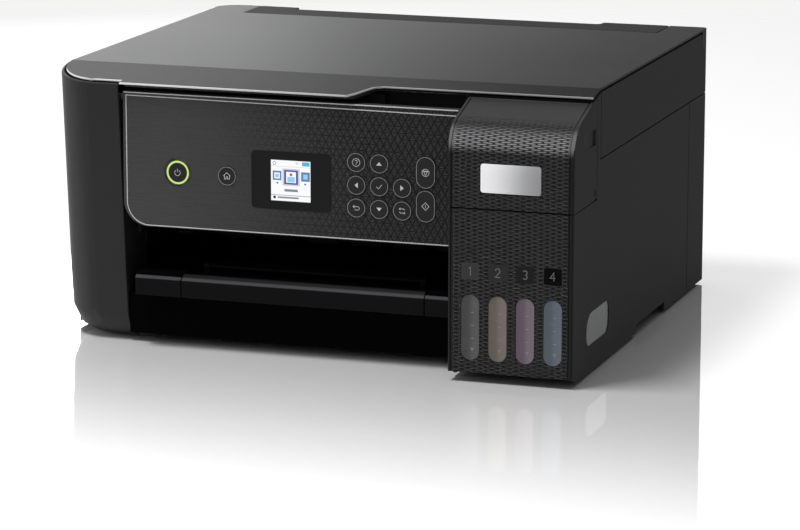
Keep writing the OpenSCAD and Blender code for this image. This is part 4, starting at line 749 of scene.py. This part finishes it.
def symbolPaths(kind, x, z):
    if kind == "power":
        return [arc(x, z - 0.1, 1.95, 122, 418, 28), [(x, z + 2.6), (x, z + 0.4)]]
    if kind == "home":
        half = [(-1.8, 0.5), (-1.8, -2.0), (-0.5, -2.0), (-0.5, -0.5)]
        walls = half + [(-a, b) for a, b in reversed(half)]
        return [shifted(x, z, [(-2.5, 0.1), (0.0, 2.3), (2.5, 0.1)]), shifted(x, z, walls)]
    if kind == "help":
        hook = arc(x, z + 0.65, 0.85, 165, -60, 12) + [(x, z - 0.35), (x, z - 0.7)]
        return [arc(x, z, 2.6, 0, 360, 36), hook, arc(x, z - 1.45, 0.08, 0, 360, 8)]
    if kind == "ok":
        return [[(x - 1.9, z - 0.1), (x - 0.5, z - 1.5), (x + 2.1, z + 1.5)]]
    if kind == "back":
        start = shifted(x, z, [(-2.3, 0.9), (1.1, 0.9)])
        end = shifted(x, z, [(1.1, -1.3), (-1.0, -1.3)])
        head = shifted(x, z, [(-1.2, 1.9), (-2.3, 0.9), (-1.2, -0.1)])
        return [start + arc(x + 1.1, z - 0.2, 1.1, 90, -90, 10) + end, head]
    if kind == "copies":
        shaft = [(2.0, 0.7), (1.0, 1.4), (-2.0, 1.4)]
        head = [(-1.2, 2.1), (-2.0, 1.4), (-1.2, 0.7)]
        turned = [[(-a, -b) for a, b in path] for path in (shaft, head)]
        return [shifted(x, z, path) for path in [shaft, head] + turned]
    if kind == "stop":
        sides = triangle(x, z - 0.15, 1.6, -90)
        return [arc(x, z, 2.4, 0, 360, 32), sides + sides[:1], [(x - 2.0, z + 1.1), (x + 2.0, z + 1.1)]]
    # start
    diamond = shifted(x, z, [(0.0, 2.6), (2.5, 0.0), (0.0, -2.6), (-2.5, 0.0), (0.0, 2.6)])
    return [diamond, [(x, z + 1.2), (x, z - 1.2)]]


def buttonMarks():
    arrows = {"up": 90.0, "down": 270.0, "left": 180.0, "right": 0.0}
    kinds = (
        "power", "home", "help", "up", "left", "ok", "right", "back", "down", "copies", "stop", "start",
    )
    for kind in kinds:
        node = "button_" + kind
        x, z = centreOf(node)
        work = bmesh.new()
        if kind in arrows:
            flatShape(work, arrowShape(x, z, arrows[kind]), buttonFace, 0.05)
        else:
            strokes(work, symbolPaths(kind, x, z), symbolLooks["stroke"], buttonFace)
        newPiece(kind + "Symbol", work, "mark", node)
        if kind == "power":
            continue
        (x0, _, z0), (x1, _, z1) = [[v / mm for v in corner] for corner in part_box(node)]
        half = (x1 - x0) / 2
        r = half - symbolLooks["inset"]
        path = arc(x, z1 - half, r, 0, 180, 24) + arc(x, z0 + half, r, 180, 360, 24)
        work = bmesh.new()
        sweep(work, path, barSection(symbolLooks["outline"], 0.05), buttonFace, True)
        newPiece(kind + "Outline", work, "outline", node)


# the lit screen: places are parts of its width and height, from its top left corner
screenLooks = {"x0": -28.6, "x1": -0.9, "z0": 105.9, "z1": 133.2}


def screenPage():
    x0, z1 = screenLooks["x0"], screenLooks["z1"]
    wide, tall = screenLooks["x1"] - x0, z1 - screenLooks["z0"]

    def tile(left, right, top, bottom):
        a, b = x0 + left * wide, x0 + right * wide
        low, high = z1 - bottom * tall, z1 - top * tall
        return [(a, low), (b, low), (b, high), (a, high)]

    layers = [
        ("Page", "screenWhite", [tile(0, 1, 0, 1)]),
        ("Lines", "screenPale", [tile(0, 1, 0.148, 0.158), tile(0.29, 0.73, 0.20, 0.62)]),
        ("Rule", "screenGrey", [
            tile(0, 1, 0.852, 0.866), tile(0.34, 0.68, 0.705, 0.765), tile(0.17, 0.70, 0.895, 0.935),
        ]),
        ("Corner", "screenCyan", [tile(0.79, 0.98, 0.02, 0.12)]),
        ("Sides", "screenSlate", [tile(0.045, 0.265, 0.265, 0.495), tile(0.765, 0.985, 0.265, 0.495)]),
        ("Frame", "screenBlue", [tile(0.335, 0.685, 0.235, 0.585)]),
        ("Sheet", "screenWhite", [tile(0.385, 0.635, 0.275, 0.545), tile(0.085, 0.225, 0.31, 0.455)]),
        ("Picture", "screenSky", [
            tile(0.415, 0.605, 0.40, 0.53), tile(0.11, 0.20, 0.34, 0.43), tile(0.82, 0.93, 0.32, 0.44),
        ]),
        ("Dot", "screenRed", [arc(x0 + 0.51 * wide, z1 - 0.345 * tall, 1.0, 0, 330, 11)]),
        ("Arrows", "screenBlack", [
            triangle(x0 + 0.16 * wide, z1 - 0.56 * tall, 0.95, 180.0),
            triangle(x0 + 0.87 * wide, z1 - 0.56 * tall, 0.95, 0.0),
            arc(x0 + 0.09 * wide, z1 - 0.915 * tall, 1.0, 0, 330, 11),
        ]),
    ]
    for i, (name, look, shapes) in enumerate(layers):
        work = bmesh.new()
        for shape in shapes:
            flatShape(work, shape, screenFace - 0.02 * i, 0.025 if i else 0.04)
        newPiece("screen" + name, work, look, "display_window")
    work = bmesh.new()
    hx, hz = x0 + 0.085 * wide, z1 - 0.075 * tall
    roof = [(-1.3, 0.0), (0.0, 1.2), (1.3, 0.0)]
    walls = [(-0.8, 0.0), (-0.8, -1.1), (0.8, -1.1), (0.8, 0.0)]
    strokes(work, [shifted(hx, hz, roof), shifted(hx, hz, walls)], 0.3, screenFace - 0.02, 0.04)
    wx = x0 + 0.66 * wide
    waves = [arc(wx, hz - 0.8, 1.7, 50, 130, 8), arc(wx, hz - 0.8, 0.9, 50, 130, 6)]
    strokes(work, waves, 0.28, screenFace - 0.02, 0.04)
    newPiece("screenStatus", work, "screenGrey", "display_window")


# the bare silver plate on the ink cover
badgeLooks = {
    "x0": 125.2, "x1": 165.8, "z0": 125.7, "z1": 144.8, "radius": 1.9, "rim": 0.25,
    "back": -172.75, "thick": 0.68,
}


def badge():
    look = badgeLooks
    work = bmesh.new()
    outline = roundedOutline(look["x0"], look["x1"], look["z0"], look["z1"], look["radius"], 8)
    flatShape(work, outline, look["back"], look["thick"])
    front = (look["back"] - look["thick"]) * mm
    rims = [
        edge for edge in work.edges
        if all(abs(vertex.co.y - front) < 1e-6 for vertex in edge.verts)
    ]
    bmesh.ops.bevel(
        work, geom=rims, offset=look["rim"] * mm, offset_type="OFFSET", segments=2, profile=0.5,
        affect="EDGES", clamp_overlap=True, material=-1,
    )
    newPiece("coverBadge", work, "silver", "ink_cover")


# numbered labels over the four level windows
labelLooks = {
    "x": (118.65, 137.15, 155.65, 174.15), "width": 12.0, "z0": 68.2, "z1": 79.2, "radius": 1.0,
    "numeral": 5.6, "stroke": 0.62, "tones": ("labelOne", "labelTwo", "labelThree", "labelFour"),
}


def numeralPaths(number, x, z, tall):
    h, w = tall / 2, tall * 0.28
    if number == 1:
        return [[(x - w * 0.7, z + h * 0.55), (x + w * 0.1, z + h), (x + w * 0.1, z - h)]]
    if number == 2:
        return [arc(x, z + h - w, w, 170, -30, 12) + [(x - w, z - h), (x + w * 1.1, z - h)]]
    if number == 3:
        left, r = x - w * 0.1, h * 0.5
        return [arc(left, z + r, r, 150, -90, 10), arc(left, z - r, r, 90, -150, 10)]
    stem, bar = x + w * 0.4, z - h * 0.3
    return [[(stem, z - h), (stem, z + h), (x - w * 1.1, bar), (x + w * 1.1, bar)]]


def tankLabels():
    look = labelLooks
    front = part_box("tank_fascia")[0][1] / mm + printDrop
    for i, x in enumerate(look["x"]):
        half = look["width"] / 2
        z0, z1 = look["z0"], look["z1"]
        work = bmesh.new()
        flatShape(work, roundedOutline(x - half, x + half, z0, z1, look["radius"], 4), front, 0.05)
        newPiece("label" + str(i + 1), work, look["tones"][i], "tank_fascia")
        work = bmesh.new()
        paths = numeralPaths(i + 1, x, (z0 + z1) / 2, look["numeral"])
        strokes(work, paths, look["stroke"], front - 0.05, 0.03)
        newPiece("number" + str(i + 1), work, "numeral", "tank_fascia")


# domed lenses of the level windows, with their level marks and a pale glint line at each foot as
# painted highlight
lensLooks = {
    "radius": 5.98, "aside": 0.2, "z0": 14.75, "z1": 58.15, "foot": -170.9, "top": -173.2, "rings": 7,
    "dome": 3.4, "ticks": (46.6, 38.0, 29.4), "tickHalf": 1.0, "stroke": 0.32, "markThick": 0.12,
    "arrow": 22.2, "arrowSize": 1.1, "arrowStroke": 0.3, "shift": 1.3,
    "glintInset": 0.35, "glintBack": 1.35, "glintWide": 0.45, "glintThick": 0.3,
    "tints": ("tankGrey", "tankYellow", "tankMagenta", "tankCyan"),
    "tanks": ("ink_tank_black", "ink_tank_yellow", "ink_tank_magenta", "ink_tank_cyan"),
}


def levelWindows():
    look = lensLooks
    radius = look["radius"]
    bottom, crown = look["z0"] + radius, look["z1"] - radius
    for i, middle in enumerate(labelLooks["x"]):
        x = middle + look["aside"]
        tint, tank = look["tints"][i], look["tanks"][i]
        work = bmesh.new()
        loops = []
        for k in range(look["rings"] + 1):
            t = math.radians(90.0 * k / look["rings"])
            r = radius - (1 - math.cos(t)) * look["dome"]
            y = look["foot"] + (look["top"] - look["foot"]) * math.sin(t)
            outline = arc(x, crown, r, 0, 180, 16) + arc(x, bottom, r, 180, 360, 16)
            loops.append([work.verts.new((px * mm, y * mm, pz * mm)) for px, pz in outline])
        for low, high in zip(loops, loops[1:]):
            for j in range(len(low)):
                k = (j + 1) % len(low)
                work.faces.new((low[j], low[k], high[k], high[j]))
        work.faces.new(loops[-1])
        work.faces.new(list(reversed(loops[0])))
        newPiece("levelWindow" + str(i + 1), work, tint, tank, 50.0)
        work = bmesh.new()
        face = look["top"] + 0.02
        tx = x + look["shift"]
        lines = [[(tx - look["tickHalf"], z), (tx + look["tickHalf"], z)] for z in look["ticks"]]
        strokes(work, lines, look["stroke"], face, look["markThick"])
        sides = triangle(tx, look["arrow"], look["arrowSize"], -90)
        strokes(work, [sides + sides[:1]], look["arrowStroke"], face, look["markThick"])
        newPiece("levelMarks" + str(i + 1), work, "tick", tank)
        # painted highlight: a pale glint line at the foot of the window
        work = bmesh.new()
        path = arc(x, bottom, radius - look["glintInset"], 255, 345, 12)
        section = barSection(look["glintWide"], look["glintThick"])
        sweep(work, path, section, look["foot"] - look["glintBack"])
        newPiece("levelGlint" + str(i + 1), work, "glint", tank)


panelBead()
powerRing()
buttonMarks()
screenPage()
badge()
tankLabels()
levelWindows()
print("printer: marks, screen, badge and windows made")

studio = {
    "cameraAzimuth": 18.59, "cameraElevation": 12.061, "cameraRoll": 0.05, "cameraLens": 167.1,
    "cameraDistance": 2.6, "lookAt": (0.0111, 0.0044, 0.0344), "floorRadius": 3.0,
    "skyLight": 0.225, "floorTone": 0.98, "mirrorNear": -0.64, "mirrorFar": -0.16, "mirrorShare": 0.62,
    "floorFadeStart": 0.8, "floorFadeEnd": 2.6,
}
plainWhite = (1.0, 1.0, 1.0, 1.0)


def placeCamera():
    data = bpy.data.cameras.new("studioCamera")
    data.lens = studio["cameraLens"]
    data.sensor_width = 36.0
    data.clip_start = 0.01
    camera = bpy.data.objects.new("studioCamera", data)
    bpy.context.collection.objects.link(camera)
    azimuth, elevation = math.radians(studio["cameraAzimuth"]), math.radians(studio["cameraElevation"])
    level = math.cos(elevation)
    back = Vector((math.sin(azimuth) * level, -math.cos(azimuth) * level, math.sin(elevation)))
    right = Vector((math.cos(azimuth), math.sin(azimuth), 0.0))
    up = back.cross(right)
    turn = Matrix((right, up, back)).transposed().to_4x4()
    turn = turn @ Matrix.Rotation(math.radians(studio["cameraRoll"]), 4, "Z")
    spot = Vector(studio["lookAt"]) + back * studio["cameraDistance"]
    camera.matrix_world = Matrix.Translation(spot) @ turn
    bpy.context.scene.camera = camera


def lamp(name, place, target, size, power, tall):
    data = bpy.data.lights.new(name, "AREA")
    data.shape = "RECTANGLE"
    data.size = size
    data.size_y = tall or size
    data.energy = power
    lampObject = bpy.data.objects.new(name, data)
    bpy.context.collection.objects.link(lampObject)
    lampObject.location = place
    lampObject.rotation_euler = (Vector(target) - Vector(place)).to_track_quat("-Z", "Y").to_euler()
    lampObject.visible_camera = False


def studioSky():
    world = bpy.data.worlds.new("studioSky")
    bpy.context.scene.world = world
    world.use_nodes = True
    tree = world.node_tree
    tree.nodes.clear()
    out = tree.nodes.new("ShaderNodeOutputWorld")
    rays = tree.nodes.new("ShaderNodeLightPath")
    seen = Signal(tree, rays.outputs["Is Camera Ray"])
    shine = Signal(tree, rays.outputs["Is Glossy Ray"])
    through = Signal(tree, rays.outputs["Is Transmission Ray"])
    direct = seen.maths("MAXIMUM", shine).maths("MAXIMUM", through)
    strength = direct * (1.0 - studio["skyLight"]) + studio["skyLight"]
    sky = seen.node("ShaderNodeBackground", inputs={"Color": plainWhite, "Strength": strength})
    tree.links.new(sky.socket, out.inputs["Surface"])


def floorSheet():
    mesh = bpy.data.meshes.new("studioFloor")
    work = bmesh.new()
    bmesh.ops.create_circle(work, cap_ends=True, segments=96, radius=studio["floorRadius"])
    work.to_mesh(mesh)
    work.free()
    floor = bpy.data.objects.new("studioFloor", mesh)
    bpy.context.collection.objects.link(floor)
    material = bpy.data.materials.new("paleFloor")
    material.use_nodes = True
    tree = material.node_tree
    shader = tree.nodes["Principled BSDF"]
    output = tree.nodes["Material Output"]
    tone = studio["floorTone"]
    shader.inputs["Base Color"].default_value = (tone, tone, tone, 1.0)
    shader.inputs["Roughness"].default_value = 0.9
    shader.inputs["Specular IOR Level"].default_value = 0.0
    coords = tree.nodes.new("ShaderNodeTexCoord")
    place = Signal(tree, coords.outputs["Object"])
    mirror = place.node("ShaderNodeBsdfGlossy", inputs={"Color": plainWhite, "Roughness": 0.02})
    near, far = studio["mirrorNear"], studio["mirrorFar"]
    share = place.axes()[1].within(near, far, 0.0, studio["mirrorShare"])
    matt = Signal(tree, shader.outputs["BSDF"])
    polished = place.node("ShaderNodeMixShader", inputs={0: share, 1: matt, 2: mirror})
    clear = place.node("ShaderNodeBsdfTransparent")
    away = place.node("ShaderNodeVectorMath", {"operation": "LENGTH"}, {0: place}, 1)
    fade = away.within(studio["floorFadeStart"], studio["floorFadeEnd"])
    edge = place.node("ShaderNodeMixShader", inputs={0: fade, 1: polished, 2: clear})
    tree.links.new(edge.socket, output.inputs["Surface"])
    mesh.materials.append(material)


# place, target, width, power in watts, height (the width again when none is given)
lamps = {
    "overheadSoftbox": ((0.1, -0.3, 2.2), (0.0, 0.0, 0.1), 2.4, 16.5, None),
    "leftSoftbox": ((-2.0, -0.9, 0.9), (-0.1, 0.0, 0.1), 1.2, 9.0, None),
    "frontFill": ((-0.5, -2.6, 1.0), (0.0, 0.0, 0.1), 1.6, 6.0, None),
    "lidShine": ((-0.80, 1.15, 0.50), (0.0, 0.0, 0.18), 0.6, 3.8, 0.5),
    "crownStrip": ((-0.36, -0.52, 1.70), (0.14, -0.16, 0.16), 0.6, 27.0, 0.3),
    "columnStrip": ((-1.9, -0.35, 0.35), (-0.17, -0.13, 0.1), 0.3, 3.0, 1.2),
}
placeCamera()
studioSky()
floorSheet()
for name, (place, target, size, power, tall) in lamps.items():
    lamp(name, place, target, size, power, tall)
bpy.context.scene.view_settings.view_transform = "Standard"
print("printer: studio set")
